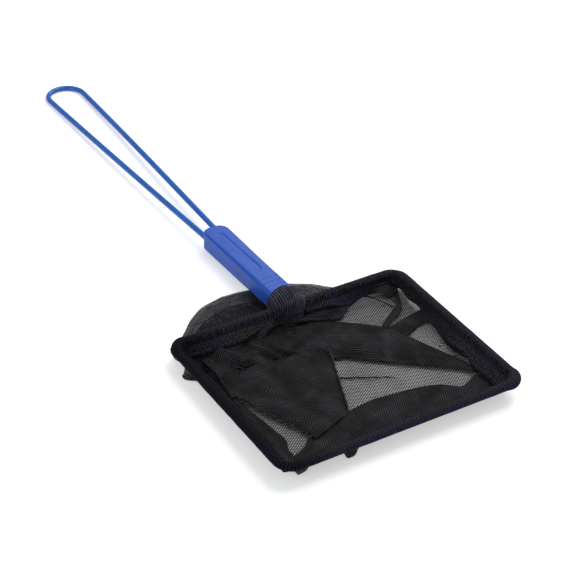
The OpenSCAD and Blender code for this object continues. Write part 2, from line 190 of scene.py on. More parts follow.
def smooth_step(value, low, high):
    t = np.clip((value - low) / (high - low), 0, 1)
    return t * t * (3 - 2 * t)


def ripple(x, y, seed, size):
    """Seeded soft noise between about -1 and 1."""
    xs, ys = np.broadcast_arrays(np.asarray(x, float), np.asarray(y, float))
    flat = [noise.noise(Vector((a / size, b / size, seed * 7.31))) for a, b in zip(xs.ravel(), ys.ravel())]
    return np.array(flat).reshape(xs.shape) * 1.6


def run_along(points):
    """Distance along a row of points, from the first to each."""
    return np.concatenate([[0], np.cumsum(np.linalg.norm(np.diff(points, axis=0), axis=1))])


def resample(points, at, run):
    """The places on a row of points at the given distances along it."""
    return np.stack([np.interp(at, run, points[:, i]) for i in range(points.shape[1])], axis=1)


def smooth_path(points, count):
    """A smooth curve through the points, with evenly spaced places on it."""
    p = np.asarray(points, float)
    ext = np.vstack([2 * p[0] - p[1], p, 2 * p[-1] - p[-2]])
    t = np.arange(24)[:, None] / 24
    fine = []
    for a, b, c, d in zip(ext, ext[1:], ext[2:], ext[3:]):
        square, cube = 2 * a - 5 * b + 4 * c - d, 3 * b - a - 3 * c + d
        fine.append(0.5 * (2 * b + (c - a) * t + square * t**2 + cube * t**3))
    fine = np.vstack([*fine, p[-1]])
    run = run_along(fine)
    return resample(fine, np.linspace(0, run[-1], count), run)


def hem_path(step):
    """Places on the frame's wire, from one side of the throat round to the other, with the way outwards."""
    s = sizes()
    r, side, half, deep = s["corner_r"], s["side_y"], s["half_w"], s["deep"]
    rows, outs = [], []

    def line(a, b, out):
        n = max(2, int(math.dist(a, b) / step))
        for i in range(n):
            rows.append([a[0] + (b[0] - a[0]) * i / n, a[1] + (b[1] - a[1]) * i / n])
            outs.append(out)

    def arc(cx, cy, start):
        n = max(6, int(r * math.pi / 2 / (step * 0.7)))
        for i in range(n):
            a = math.radians(start + 90 * i / n)
            rows.append([cx + r * math.cos(a), cy + r * math.sin(a)])
            outs.append((math.cos(a), math.sin(a)))

    line((0, s["throat_y"]), (0, side), (1, 0))
    arc(-r, side, 0)
    line((-r, half), (r - deep, half), (0, 1))
    arc(r - deep, side, 90)
    line((-deep, side), (-deep, -side), (-1, 0))
    arc(r - deep, -side, 180)
    line((r - deep, -half), (-r, -half), (0, -1))
    arc(-r, -side, 270)
    line((0, -side), (0, -s["throat_y"]), (1, 0))
    rows.append([0, -s["throat_y"]])
    outs.append((1, 0))
    return np.array(rows, float), np.array(outs, float)


# Meshes and node trees

def new_piece(name, mesh):
    piece = bpy.data.objects.new(name, mesh)
    bpy.context.scene.collection.objects.link(piece)
    return piece


def mesh_piece(name, points_m, faces, uv=None, flat=False):
    """A mesh object in the row frame. uv holds one pair for each vertex."""
    mesh = bpy.data.meshes.new(name)
    mesh.from_pydata([tuple(p) for p in points_m], [], [tuple(int(i) for i in f) for f in faces])
    mesh.validate()
    if uv is not None:
        layer = mesh.uv_layers.new(name="UVMap")
        index = np.empty(len(mesh.loops), np.int32)
        mesh.loops.foreach_get("vertex_index", index)
        layer.data.foreach_set("uv", np.asarray(uv, np.float32)[index].ravel())
    mesh.polygons.foreach_set("use_smooth", [not flat] * len(mesh.polygons))
    return new_piece(name, mesh)


def path_object(name, points_m):
    """A chain of edges that a tree turns into a curve."""
    mesh = bpy.data.meshes.new(name)
    mesh.from_pydata([tuple(p) for p in points_m], [(i, i + 1) for i in range(len(points_m) - 1)], [])
    return new_piece(name, mesh)


def grid_faces(rows, columns, close_rows=False, close_columns=False, start=0, turn=False):
    """Faces of a grid of points that is stored row by row."""
    faces = []
    for i in range(rows if close_rows else rows - 1):
        for j in range(columns if close_columns else columns - 1):
            here, ahead = start + i * columns, start + (i + 1) % rows * columns
            side = (j + 1) % columns
            face = (here + j, here + side, ahead + side, ahead + j)
            faces.append(face[:1] + face[:0:-1] if turn else face)
    return faces


def finish_piece(piece, material, slot, *nodes):
    """Gives a piece its material, puts it on the body and lets it stand for its CAD nodes. The slot is not
    used.
    """
    if piece.data.materials:
        piece.data.materials[0] = material
    else:
        piece.data.materials.append(material)
    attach(piece, "root")
    if nodes:
        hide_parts(*nodes)


class Tree:
    """A short way to build a node tree."""

    def __init__(self, tree):
        self.tree = tree

    def add(self, kind, inputs=None, **settings):
        node = self.tree.nodes.new(kind)
        for key, value in settings.items():
            setattr(node, key, value)
        for key, value in (inputs or {}).items():
            self.feed(node.inputs[key], value)
        return node

    def feed(self, socket, value):
        if isinstance(value, bpy.types.NodeSocket):
            self.tree.links.new(value, socket)
        elif isinstance(value, bpy.types.Node):
            self.tree.links.new(value.outputs[0], socket)
        else:
            socket.default_value = value

    def math(self, operation, *values):
        return self.add("ShaderNodeMath", dict(enumerate(values)), operation=operation)

    def place(self):
        return self.add("ShaderNodeTexCoord").outputs["Object"]

    def uv(self):
        return self.add("ShaderNodeUVMap", uv_map="UVMap").outputs["UV"]

    def split(self, vector):
        """The X and Y of a vector."""
        return self.add("ShaderNodeSeparateXYZ", {"Vector": vector}).outputs[:2]

    def cloud(self, vector, scale, detail=2.0, roughness=0.5):
        """Soft noise between 0 and 1."""
        inputs = {"Vector": vector, "Scale": scale, "Detail": detail, "Roughness": roughness}
        return self.add("ShaderNodeTexNoise", inputs).outputs["Fac"]

    def wave(self, value, period):
        return self.math("SINE", self.math("MULTIPLY", value, TURN / period))

    def spread(self, value, low, high, to_low=0.0, to_high=1.0):
        """A value brought from one range to another, and held at its ends."""
        inputs = {"Value": value, "From Min": low, "From Max": high, "To Min": to_low, "To Max": to_high}
        return self.add("ShaderNodeMapRange", inputs).outputs["Result"]

    def ramp(self, value, dark, light, low=0.0, high=1.0):
        """A colour that is dark up to the low value and light from the high value on."""
        node = self.add("ShaderNodeValToRGB", {"Fac": value})
        for stop, place, shade in zip(node.color_ramp.elements, (low, high), (dark, light)):
            stop.position = place
            stop.color = (*shade, 1)
        return node.outputs["Color"]

    def tint(self, shade, saturation, value):
        inputs = {"Color": shade, "Saturation": saturation, "Value": value}
        return self.add("ShaderNodeHueSaturation", inputs).outputs["Color"]

    def bump(self, height, strength, distance):
        return self.add("ShaderNodeBump", {"Height": height, "Strength": strength, "Distance": distance})


def new_material(name, roughness=0.5, specular=0.5):
    """A material, its tree, its shader and a function that feeds the shader's inputs."""
    material = bpy.data.materials.new(name)
    material.use_nodes = True
    material.node_tree.nodes.clear()
    tree = Tree(material.node_tree)
    shader = tree.add("ShaderNodeBsdfPrincipled", {"Roughness": roughness, "Specular IOR Level": specular})
    tree.add("ShaderNodeOutputMaterial", {"Surface": shader.outputs["BSDF"]})
    return material, tree, shader.inputs


def mottled(tree, vector, key, dark, light, scale):
    """A base colour that varies softly between a darker and a lighter share of itself."""
    return tree.ramp(tree.cloud(vector, scale, 3.0, 0.55), *shades(key, dark, light), 0.3, 0.7)


def plastic_material(name, key, mottle, grain, gloss_scale, rough, relief, specular):
    """Plastic with a fine grain: the dipped coat of the wires or the satin moulding of the grip."""
    material, tree, inputs = new_material(name, specular=specular)
    place = tree.place()
    tree.feed(inputs["Base Color"], mottled(tree, place, key, *mottle))
    tree.feed(inputs["Roughness"], tree.spread(tree.cloud(place, gloss_scale), 0, 1, *rough))
    tree.feed(inputs["Normal"], tree.bump(tree.cloud(place, *grain), *relief))
    return material


def coat_material():
    return plastic_material(
        "blue_wire_coat", "coat", (0.88, 1.12, 90), (700, 2.0), 700, (0.10, 0.18), (0.12, 0.00008), 0.5
    )


def grip_material():
    return plastic_material(
        "blue_grip_moulding", "grip", (0.93, 1.07, 55), (2400, 3.0), 160, (0.36, 0.50), (0.25, 0.00005), 0.38
    )


def steel_material():
    """Drawn steel wire with fine lines along it."""
    material, tree, inputs = new_material("drawn_steel")
    place = tree.place()
    stretch = tree.add("ShaderNodeMapping", {"Vector": place, "Scale": (60, 2500, 2500)})
    tree.feed(inputs["Base Color"], mottled(tree, place, "steel", 0.9, 1.05, 200))
    tree.feed(inputs["Metallic"], 1.0)
    tree.feed(inputs["Roughness"], tree.spread(tree.cloud(stretch, 1.0), 0, 1, 0.25, 0.45))
    return material


def ribbon_material(name, wander, crest_highlight, depth, low=21.0, high=28.0):
    """Knit ribbon: ribs across U and small stitches along V, in a navy that is nearly black.

    wander is how far the ribs stray, crest_highlight the lighter colour painted on their tops as a highlight,
    depth how deep they look.
    From V = low to V = high the navy fades to a greyer, speckled black, which paints shade, with specks of
    random tone.
    """
    pitch = cloth()["rib_pitch"]
    material, tree, inputs = new_material(name, roughness=0.6, specular=0.02)
    uv = tree.uv()
    along, across = tree.split(uv)
    rib = tree.wave(tree.math("MULTIPLY_ADD", tree.cloud(uv, 0.06), wander, along), pitch)
    height = tree.math("MULTIPLY_ADD", tree.wave(across, pitch * 0.55), 0.25, rib)
    height = tree.math("MULTIPLY_ADD", tree.cloud(uv, 1.9, 4.0), 1.5, height)
    # Painted highlight on the tops of the ribs and painted shade in the hollows between them, mixed with
    # random tone from the noise
    knit = tree.ramp(tree.spread(height, -0.5, 1.9), *shades("ribbon", 0.4), crest_highlight)
    # Painted shade: the ribbon is darker along the left side of the mouth than elsewhere.
    side = tree.spread(tree.split(tree.place())[1], 0.055, 0.085, 1.5, 0.6)
    faded = tree.spread(tree.cloud(uv, 0.30, 3.0), 0.35, 0.65, 0.65, 1.35)
    specks = tree.spread(tree.cloud(uv, 0.9), 0.42, 0.70, 0.25, 1.5)
    navy = tree.tint(knit, 0.8, tree.math("MULTIPLY", faded, side))
    # Painted shade: a greyer black, with specks of random tone
    shade_and_specks = tree.tint(knit, 0.25, tree.math("MULTIPLY", specks, side))
    kept = tree.spread(tree.cloud(uv, 0.04), 0.50, 0.64, 1.0, 0.35)
    share = tree.math("MULTIPLY", tree.spread(across, low, high), kept)
    mix = tree.add("ShaderNodeMix", {"Factor": share, 6: navy, 7: shade_and_specks}, data_type="RGBA")
    tree.feed(inputs["Base Color"], mix.outputs[2])
    tree.feed(inputs["Normal"], tree.bump(height, depth, 0.0004))
    return material


def mesh_material():
    """Fine net: two sets of crossing threads with open gaps between them. UV is in millimetres on the cloth.

    The attribute gather draws the threads closer together where the cloth lies in folds. Where several layers
    cover one another no gap stays open, and bent streaks of painted sheen, light and dark, run along the
    threads. The middle of each thread gets a painted highlight.
    """
    size = cloth()
    pitch = size["mesh_pitch"]
    share = size["mesh_thread"] / pitch
    material, tree, inputs = new_material("black_net", roughness=0.65, specular=0.06)
    uv = tree.uv()
    u, v = tree.split(uv)
    drawn = tree.add("ShaderNodeAttribute", attribute_name="gather").outputs["Fac"]
    bend = tree.cloud(uv, 0.055)
    gaps, lines = [], []
    # Each set of threads gets bent streaks of painted sheen, light and dark, where the layers lie on one
    # another
    for way, strength in ((0.57, 1.35), (-0.57, 1.05)):
        thread = tree.math("MULTIPLY_ADD", u, 0.82 / pitch, tree.math("MULTIPLY", v, way / pitch))
        part = tree.math("FRACT", thread)
        gaps.append(tree.math("ABSOLUTE", tree.math("SUBTRACT", part, 0.5)))
        run = tree.math("MULTIPLY_ADD", u, 0.82, tree.math("MULTIPLY", v, way))
        bent = tree.math("MULTIPLY_ADD", bend, 14.0, tree.math("MULTIPLY", run, TURN / 1.6))
        shown = tree.spread(tree.cloud(uv, 0.11 + way * 0.02), 0.36, 0.62, 0.0, strength)
        lines.append(tree.math("MULTIPLY", tree.math("SINE", bent), shown))
    near = tree.math("MINIMUM", *gaps)
    half = tree.math("MULTIPLY_ADD", drawn, share / 4, share / 2)
    covered = tree.math("GREATER_THAN", drawn, 1.6)
    tree.feed(inputs["Alpha"], tree.math("MAXIMUM", tree.math("LESS_THAN", near, half), covered))
    tone = tree.ramp(tree.cloud(uv, 0.06, 4.0), *shades("mesh", 0.6, 1.5), 0.35, 0.68)
    sheen_streaks = tree.math("MULTIPLY_ADD", tree.math("ADD", *lines), tree.spread(drawn, 0.5, 1.2), 0.92)
    # Painted highlight: the middle of each thread is lighter than its edges
    crest_highlight = tree.spread(near, 0.02, 0.30, 4.2, 0.6)
    light = tree.math("MULTIPLY", crest_highlight, tree.math("MAXIMUM", sheen_streaks, 0.12))
    woven = tree.add("ShaderNodeVectorMath", {0: tone, 1: light}, operation="MULTIPLY")
    tree.feed(inputs["Base Color"], woven)
    tree.feed(inputs["Normal"], tree.bump(tree.math("SUBTRACT", half, near), 0.5, 0.0003))
    return material


def thread_material():
    """Twisted sewing thread."""
    material, tree, inputs = new_material("black_sewing_thread", roughness=0.6)
    twist = tree.add("ShaderNodeTexWave", {"Vector": tree.place(), "Scale": 900.0, "Distortion": 2.0})
    twist.bands_direction = "DIAGONAL"
    tree.feed(inputs["Base Color"], tree.ramp(twist.outputs["Fac"], *shades("thread", 0.5, 1.8)))
    tree.feed(inputs["Normal"], tree.bump(twist.outputs["Fac"], 0.5, 0.0001))
    return material


def surface_material():
    """Pale paper that keeps a soft shadow and goes to white where nothing shades it."""
    material, tree, inputs = new_material("pale_surface", roughness=0.9)
    place = tree.place()
    tree.feed(inputs["Base Color"], mottled(tree, place, "floor", 0.995, 1.005, 8))
    path = tree.add("ShaderNodeLightPath").outputs
    direct = tree.math("LESS_THAN", path["Transparent Depth"], 0.5)
    seen = tree.math("MAXIMUM", tree.math("MULTIPLY", path["Is Camera Ray"], direct), path["Is Glossy Ray"])
    far = tree.add("ShaderNodeVectorMath", {0: place}, operation="LENGTH").outputs["Value"]
    strength = tree.math("MULTIPLY", seen, tree.spread(far, 0.6, 2.2, 0.46, 0.9))
    glow = tree.add("ShaderNodeEmission", {"Color": (1, 1, 1, 1), "Strength": strength})
    surface = next(node for node in tree.tree.nodes if node.type == "OUTPUT_MATERIAL").inputs["Surface"]
    mix = tree.add("ShaderNodeAddShader", {0: surface.links[0].from_socket, 1: glow})
    tree.feed(surface, mix)
    return material


def path_tree(name, floats):
    """A Geometry Nodes tree with named inputs, and the curve that it makes of the path it is given."""
    tree = bpy.data.node_groups.new(name, "GeometryNodeTree")
    tree.interface.new_socket("Geometry", in_out="INPUT", socket_type="NodeSocketGeometry")
    for label, default in floats:
        socket = tree.interface.new_socket(label, in_out="INPUT", socket_type="NodeSocketFloat")
        socket.default_value = default
    tree.interface.new_socket("Material", in_out="INPUT", socket_type="NodeSocketMaterial")
    tree.interface.new_socket("Geometry", in_out="OUTPUT", socket_type="NodeSocketGeometry")
    made = Tree(tree)
    given = made.add("NodeGroupInput").outputs
    return made, given, made.add("GeometryNodeMeshToCurve", {"Mesh": given["Geometry"]})


def swept(made, curve, sides, radius):
    """A round bar along a curve, with closed ends."""
    size = {"Resolution": sides, "Radius": radius}
    ring = made.add("GeometryNodeCurvePrimitiveCircle", size, mode="RADIUS")
    inputs = {"Curve": curve, "Profile Curve": ring.outputs["Curve"], "Fill Caps": True}
    return made.add("GeometryNodeCurveToMesh", inputs)


def finish_tree(made, given, geometry):
    """Ends a tree: real geometry, smooth, with its material."""
    real = made.add("GeometryNodeRealizeInstances", {"Geometry": geometry})
    smooth = made.add("GeometryNodeSetShadeSmooth", {"Geometry": real, "Shade Smooth": True})
    skin = made.add("GeometryNodeSetMaterial", {"Geometry": smooth, "Material": given["Material"]})
    made.add("NodeGroupOutput", {"Geometry": skin})
    return made


def run_tree(piece, made, values):
    """Runs a Geometry Nodes tree on a piece and leaves the result as a plain mesh."""
    modifier = piece.modifiers.new("make", "NODES")
    modifier.node_group = made.tree
    for item in made.tree.interface.items_tree:
        if item.item_type == "SOCKET" and item.in_out == "INPUT" and item.name in values:
            modifier[item.identifier] = values[item.name]
    bpy.context.view_layer.update()
    graph = bpy.context.evaluated_depsgraph_get()
    mesh = bpy.data.meshes.new_from_object(piece.evaluated_get(graph))
    piece.modifiers.remove(modifier)
    old = piece.data
    piece.data = mesh
    mesh.name = piece.name
    bpy.data.meshes.remove(old)


def sweep_tree():
    """A round bar along a path."""
    made, given, curve = path_tree("swept_wire", [("Radius", 0.002), ("Sides", 24.0)])
    return finish_tree(made, given, swept(made, curve, given["Sides"], given["Radius"]))


def stitch_tree():
    """Short stitches set at even distances along a path and turned to follow it."""
    floats = [("Pitch", 0.003), ("Stitch Length", 0.002), ("Thread Radius", 0.0002), ("Slant", 0.3)]
    made, given, curve = path_tree("row_of_stitches", floats)
    radius = given["Thread Radius"]
    places = made.add("GeometryNodeCurveToPoints", {"Curve": curve, "Length": given["Pitch"]}, mode="LENGTH")
    halves = [made.math("MULTIPLY", given["Stitch Length"], share) for share in (-0.5, 0.5)]
    ends = [made.add("ShaderNodeCombineXYZ", {"X": radius, "Z": half}) for half in halves]
    stitch = made.add("GeometryNodeCurvePrimitiveLine", {"Start": ends[0], "End": ends[1]})
    bend = made.add("GeometryNodeResampleCurve", {"Curve": stitch, "Count": 5})
    along = made.add("GeometryNodeSplineParameter").outputs["Factor"]
    hump = made.math("SINE", made.math("MULTIPLY", along, math.pi))
    lift = made.add("ShaderNodeCombineXYZ", {"X": made.math("MULTIPLY", hump, radius)})
    raised = made.add("GeometryNodeSetPosition", {"Geometry": bend, "Offset": lift})
    slant = made.add("ShaderNodeCombineXYZ", {"X": given["Slant"]})
    bar = swept(made, raised, 6, radius)
    thread = made.add("GeometryNodeTransform", {"Geometry": bar, "Rotation": slant})
    sewn = made.add("GeometryNodeInstanceOnPoints", {
        "Points": places.outputs["Points"], "Instance": thread, "Rotation": places.outputs["Rotation"],
    })
    return finish_tree(made, given, sewn)


# Stage: surface, lamps and camera

CAMERA_PLACE = (-880.66, 588.14, 769.22)  # on the mouth's plane axes
CAMERA_AZIMUTH, CAMERA_ELEVATION, CAMERA_ROLL = -123.595, 35.300, 2.895
CAMERA_PIXELS, PHOTO_WIDTH = 1810.84, 570
SENSOR = 36.0
# Name, place, aim, size and power of each lamp, in metres and watts
LAMPS = (
    ("overhead_softbox", (0.05, -0.65, 1.4), (0.0, 0.0, 0.0), 0.9, 11.0),
    ("rear_softbox", (0.9, -0.9, 0.9), (0.1, 0.0, 0.0), 0.6, 4.5),
    ("side_fill", (-0.5, 1.4, 0.7), (0.0, 0.0, 0.0), 1.2, 5.0),
)


class NET_OT_stage(bpy.types.Operator):
    """Makes the pale surface, the soft lamps and the camera at the photograph's place"""

    bl_idname = "net.stage"
    bl_label = "Stage"

    def execute(self, context):
        scene = context.scene
        scene.view_settings.view_transform = "Standard"
        self.camera(scene)
        square = [(-6, -6, 0), (6, -6, 0), (6, 6, 0), (-6, 6, 0)]
        floor = mesh_piece("surface", square, [(0, 1, 2, 3)], flat=True)
        floor.data.materials.append(surface_material())
        self.sky(scene)
        for name, place, aim, size, power in LAMPS:
            data = bpy.data.lights.new(name, "AREA")
            data.size, data.energy = size, power
            lamp = bpy.data.objects.new(name, data)
            lamp.location = place
            lamp.rotation_euler = (Vector(aim) - Vector(place)).to_track_quat("-Z", "Y").to_euler()
            scene.collection.objects.link(lamp)
        return {"FINISHED"}

    def camera(self, scene):
        """The camera that was fitted to the photograph."""
        az, el, roll = map(math.radians, (CAMERA_AZIMUTH, CAMERA_ELEVATION, CAMERA_ROLL))
        back = Vector((math.sin(az) * math.cos(el), -math.cos(az) * math.cos(el), math.sin(el)))
        right = (-back).cross(Vector((0, 0, 1))).normalized()
        up = right.cross(-back)
        turned_right = math.cos(roll) * right + math.sin(roll) * up
        turned_up = -math.sin(roll) * right + math.cos(roll) * up
        turn = Matrix.Rotation(sizes()["tilt"], 3, "Y")
        axes = Matrix([turn @ v for v in (turned_right, turned_up, back)]).transposed().to_4x4()
        axes.translation = Vector(in_mouth([CAMERA_PLACE])[0])
        data = bpy.data.cameras.new("photo_camera")
        data.sensor_width = SENSOR
        data.lens = SENSOR * CAMERA_PIXELS / PHOTO_WIDTH
        data.clip_start, data.clip_end = 0.05, 20
        camera = bpy.data.objects.new("photo_camera", data)
        camera.matrix_world = axes
        scene.collection.objects.link(camera)
        scene.camera = camera

    def sky(self, scene):
        """Soft light from all round, which the camera sees as white."""
        world = bpy.data.worlds.new("soft_studio")
        scene.world = world
        world.use_nodes = True
        world.node_tree.nodes.clear()
        tree = Tree(world.node_tree)
        light = tree.add("ShaderNodeBackground", {"Color": (0.93, 0.96, 1.0, 1), "Strength": 0.42})
        white = tree.add("ShaderNodeBackground", {"Color": (1, 1, 1, 1), "Strength": 1.0})
        path = tree.add("ShaderNodeLightPath").outputs
        seen = tree.math("MAXIMUM", path["Is Camera Ray"], path["Is Transmission Ray"])
        mix = tree.add("ShaderNodeMixShader", {0: seen, 1: light, 2: white})
        tree.add("ShaderNodeOutputWorld", {"Surface": mix})


# Wires

LEG_STEPS, LOOP_STEPS = 80, 64
# How far the photographed handle strays from its true line
LEFT_BOW, LEFT_LEAN, RIGHT_BOW, LOOP_SWELL = 0.35, 0.6, 0.6, 0.5
COAT_EXTRA = 0.2


class NET_OT_wires(bpy.types.Operator):
    """Coats the handle's wire as one smooth bar, and finishes the steel and the frame's coat"""

    bl_idname = "net.wires"
    bl_label = "Wires"

    coat_hold: length("Hold", "Length of coat inside the grip", 10.0)

    def execute(self, context):
        s = sizes()
        coat, steel = coat_material(), steel_material()
        loop_x = s["handle_reach"] - s["wire_r"] - s["loop_r"]
        leg_y = s["leg_gap"] / 2
        run = loop_x - s["grip_reach"]
        flare = math.asin(s["loop_r"] / math.hypot(run, leg_y)) - math.atan2(leg_y, run)
        start_x = s["grip_reach"] - self.coat_hold / MM
        start_y = leg_y - (s["grip_reach"] - start_x) * math.tan(flare)
        top_x, top_y = loop_x - s["loop_r"] * math.sin(flare), s["loop_r"] * math.cos(flare)
        left, right, loop = [], [], []
        for t in np.arange(LEG_STEPS) / LEG_STEPS:
            x, y = start_x + (top_x - start_x) * t, start_y + (top_y - start_y) * t
            left.append((x, y + LEFT_BOW * math.sin(math.pi * t) - LEFT_LEAN * (1 - t) ** 2, 0))
            right.append((x, -y - RIGHT_BOW * math.sin(math.pi * t**1.5), 0))
        for t in np.linspace(0, 1, LOOP_STEPS + 1):
            a = math.pi / 2 + flare - (math.pi + 2 * flare) * t
            r = s["loop_r"] + LOOP_SWELL * math.sin(math.pi * t)
            loop.append((loop_x + r * math.cos(a), r * math.sin(a), 0))
        wire = path_object("handle_wire_coat", in_handle(left + loop + right[::-1]))
        radius = (s["wire_r"] + COAT_EXTRA) * MM
        run_tree(wire, sweep_tree(), {"Radius": radius, "Sides": 24.0, "Material": coat})
        finish_piece(wire, coat, "blue_coating", "handle_wire_coating")
        for name, finish in (
            ("handle_wire_core", steel), ("frame_wire_core", steel), ("frame_wire_coating", coat),
        ):
            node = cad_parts[name]
            node.data.materials.clear()
            node.data.materials.append(finish)
        return {"FINISHED"}


# Grip

FAR_CORNER, NEAR_CORNER = 7.5, 4.0
LOWER_BEVEL = 1.0
CROWN = 0.12
RECESS_END, RECESS_HALF, RECESS_TAPER = 12.0, 3.0, 0.7
GROOVES, GROOVE_DEPTH, GROOVE_HALF, GROOVE_REACH = 4, 0.5, 0.75, 7.9
# The photographed grip leans to the right towards its nose, and is a little wider on that side at its far end
NOSE_LEAN, FAR_SPREAD = 2.1, 0.1


class NET_OT_grip(bpy.types.Operator):
    """Moulds the two shells of the grip, with the bare recess, the finger grooves and the soft long edges"""

    bl_idname = "net.grip"
    bl_label = "Grip"

    edge_far: length("Far bevel", "Bevel at the far end", 1.1)
    edge_near: length("Near bevel", "Bevel at the nose", 2.8)
    groove_first: length("First groove", "Place of the first finger groove", 30.5)
    groove_pitch: length("Groove pitch", "From groove to groove", 5.0)

    def outline(self, s):
        """The grip seen from above, as a closed row of points."""
        side = math.pi / 2 + math.atan2((s["grip_nose_w"] - s["grip_end_w"]) / 2, s["grip_reach"])
        half = []
        for x, width, r, a0, a1 in (
            (s["grip_reach"] - FAR_CORNER, s["grip_end_w"], FAR_CORNER, 0.0, side),
            (NEAR_CORNER - s["nose_len"], s["grip_nose_w"], NEAR_CORNER, side, math.pi),
        ):
            half += [(x + r * math.cos(a), width / 2 - r + r * math.sin(a)) for a in np.linspace(a0, a1, 25)]
        return np.array(half + [(x, -y) for x, y in reversed(half)])

    def shell(self, name, s, upper):
        """One shell as lofted cross sections whose tops follow the distance from the outline."""
        ring = self.outline(s)
        half = ring[: len(ring) // 2]
        near_x, far_x = half[-1, 0], half[0, 0]
        xs = np.unique(np.concatenate([
            np.linspace(near_x + 1e-4, far_x - 1e-4, 420),
            far_x - np.geomspace(1e-4, 3, 16), near_x + np.geomspace(1e-4, 3, 16),
        ]))
        width = np.maximum(np.interp(xs, half[::-1, 0], half[::-1, 1]), 1.0)
        across = np.sin(np.linspace(-1, 1, 57) * math.pi / 2)
        across = np.sign(across) * np.abs(across) ** 0.85
        side = np.roll(ring, -1, axis=0) - ring
        shares = np.clip((xs + s["nose_len"]) / (s["grip_reach"] + s["nose_len"]), 0, 1)
        points = []
        for x, w, share in zip(xs, width, shares):
            y = across * w
            p = np.stack([np.full_like(y, x), y], axis=1)[:, None] - ring
            t = np.clip((p * side).sum(-1) / np.maximum((side * side).sum(-1), 1e-9), 0, 1)
            gap = np.linalg.norm(p - t[..., None] * side, axis=-1).min(axis=1)
            bevel = (self.edge_near + (self.edge_far - self.edge_near) * share) / MM if upper else LOWER_BEVEL
            q = np.clip(gap / bevel, 0, 1)
            soft = 0.35 * q + 0.65 * np.sqrt(np.clip(1 - (1 - q) ** 2, 0, 1))
            high = s["upper_h"] if upper else s["nose_h"] + (s["lower_h"] - s["nose_h"]) * min(1, share * 2)
            z = high - bevel * (1 - soft)
            if upper:
                z = z + CROWN * (1 - (y / w) ** 2)
                z = z - self.recess_cut(x, y, s) - self.groove_cut(x, y)
            wall = [(x, -w, 0.06), (x, -w, z[0] * 0.5), (x, -w, z[0] - 0.02)]
            points += wall + [(x, yy, zz) for yy, zz in zip(y, z)]
            points += [(x, w, zz) for _, _, zz in reversed(wall)]
        points = np.array(points)
        x, y = points[:, 0], points[:, 1]
        y -= NOSE_LEAN * (1 - x / s["grip_reach"]) * smooth_step(x, -5, 12)
        y += FAR_SPREAD * np.minimum(y, 0) * smooth_step(x, 45, 105)
        if not upper:
            points[:, 2] *= -1
        columns = len(across) + 6
        faces = grid_faces(len(xs), columns, close_columns=True, turn=upper)
        first, last = range(columns), range(len(points) - columns, len(points))
        faces += [tuple(first if upper else reversed(first)), tuple(reversed(last) if upper else last)]
        piece = mesh_piece(name, in_handle(points), faces)
        piece.data.set_sharp_from_angle(angle=math.radians(38))
        return piece

    def recess_cut(self, x, y, s):
        """Depth of the bare recess, with round ends and soft walls."""
        end_x = s["grip_reach"] - RECESS_END
        start_x = end_x - s["recess_len"]
        half = RECESS_HALF - RECESS_TAPER * np.clip((x - start_x) / s["recess_len"], 0, 1)
        gap = half - np.hypot(x - np.clip(x, start_x + half, end_x - half), y)
        return s["recess_depth"] * smooth_step(gap, -0.12, 0.22)

    def groove_cut(self, x, y):
        """Depth of the finger grooves, which fade out at their ends."""
        gaps = x - (self.groove_first - np.arange(GROOVES) * self.groove_pitch) / MM
        depth = GROOVE_DEPTH * np.exp(-((gaps / GROOVE_HALF) ** 2)).sum()
        return depth * smooth_step(GROOVE_REACH - np.abs(y), 0, 0.7)

    def execute(self, context):
        s, finish = sizes(), grip_material()
        for name, upper, node in (
            ("grip_upper_moulding", True, "grip_upper_shell"),
            ("grip_lower_moulding", False, "grip_lower_shell"),
        ):
            finish_piece(self.shell(name, s, upper), finish, "blue_grip", node)
        return {"FINISHED"}


# Hem: sleeve, band and stitches

HEM_STEP = 1.2
BAND_SHARES = np.linspace(0, 1, 9)
# The sleeve stands out by this much more, except along the rear wire
SLEEVE_EXTRA = 0.45
CORNER_SWELL = 0.34
# Name, place on the band as a share of its length
STITCH_ROWS = (("sleeve_stitches", 0.12), ("band_stitches", 0.8))
STITCH_LIFT = 0.55


def band_shape(place, run, total):
    """Angle below the mouth's plane and length of the band at a place on the wire."""
    x, y = place
    steep = smooth_step(-y, 32, 68) * smooth_step(x, -95, -30)
    reach = cloth()["band_len"] * (1 - 0.2 * steep)
    reach += 0.9 * math.sin(run / 13.0) + 0.6 * math.sin(run / 5.1 + 2)
    reach *= 0.5 + 0.5 * smooth_step(min(run, total - run), 0, 46)
    return math.radians(37 + 46 * steep), reach


def band_point(s, place, out, run, total, share, lift=0.0):
    """A point on the middle of the band at a share of its length, lifted off by some distance."""
    angle, reach = band_shape(place, run, total)
    begin = s["hem_r"] * 0.5
    wave = 0.5 * math.sin(run / 4.6 + 1.3 * math.sin(run / 17)) * share
    inset = begin + reach * share * math.cos(angle)
    drop = begin + reach * share * math.sin(angle) - wave - 0.8 * math.sin(math.pi * share)
    x, y = place - out * (inset + lift * math.sin(angle))
    x = min(x, -inset) if place[0] > s["mid_x"] else max(x, inset - s["deep"])
    y = np.clip(y, inset - s["half_w"], s["half_w"] - inset)
    return np.array([x, y, lift * math.cos(angle) - drop])


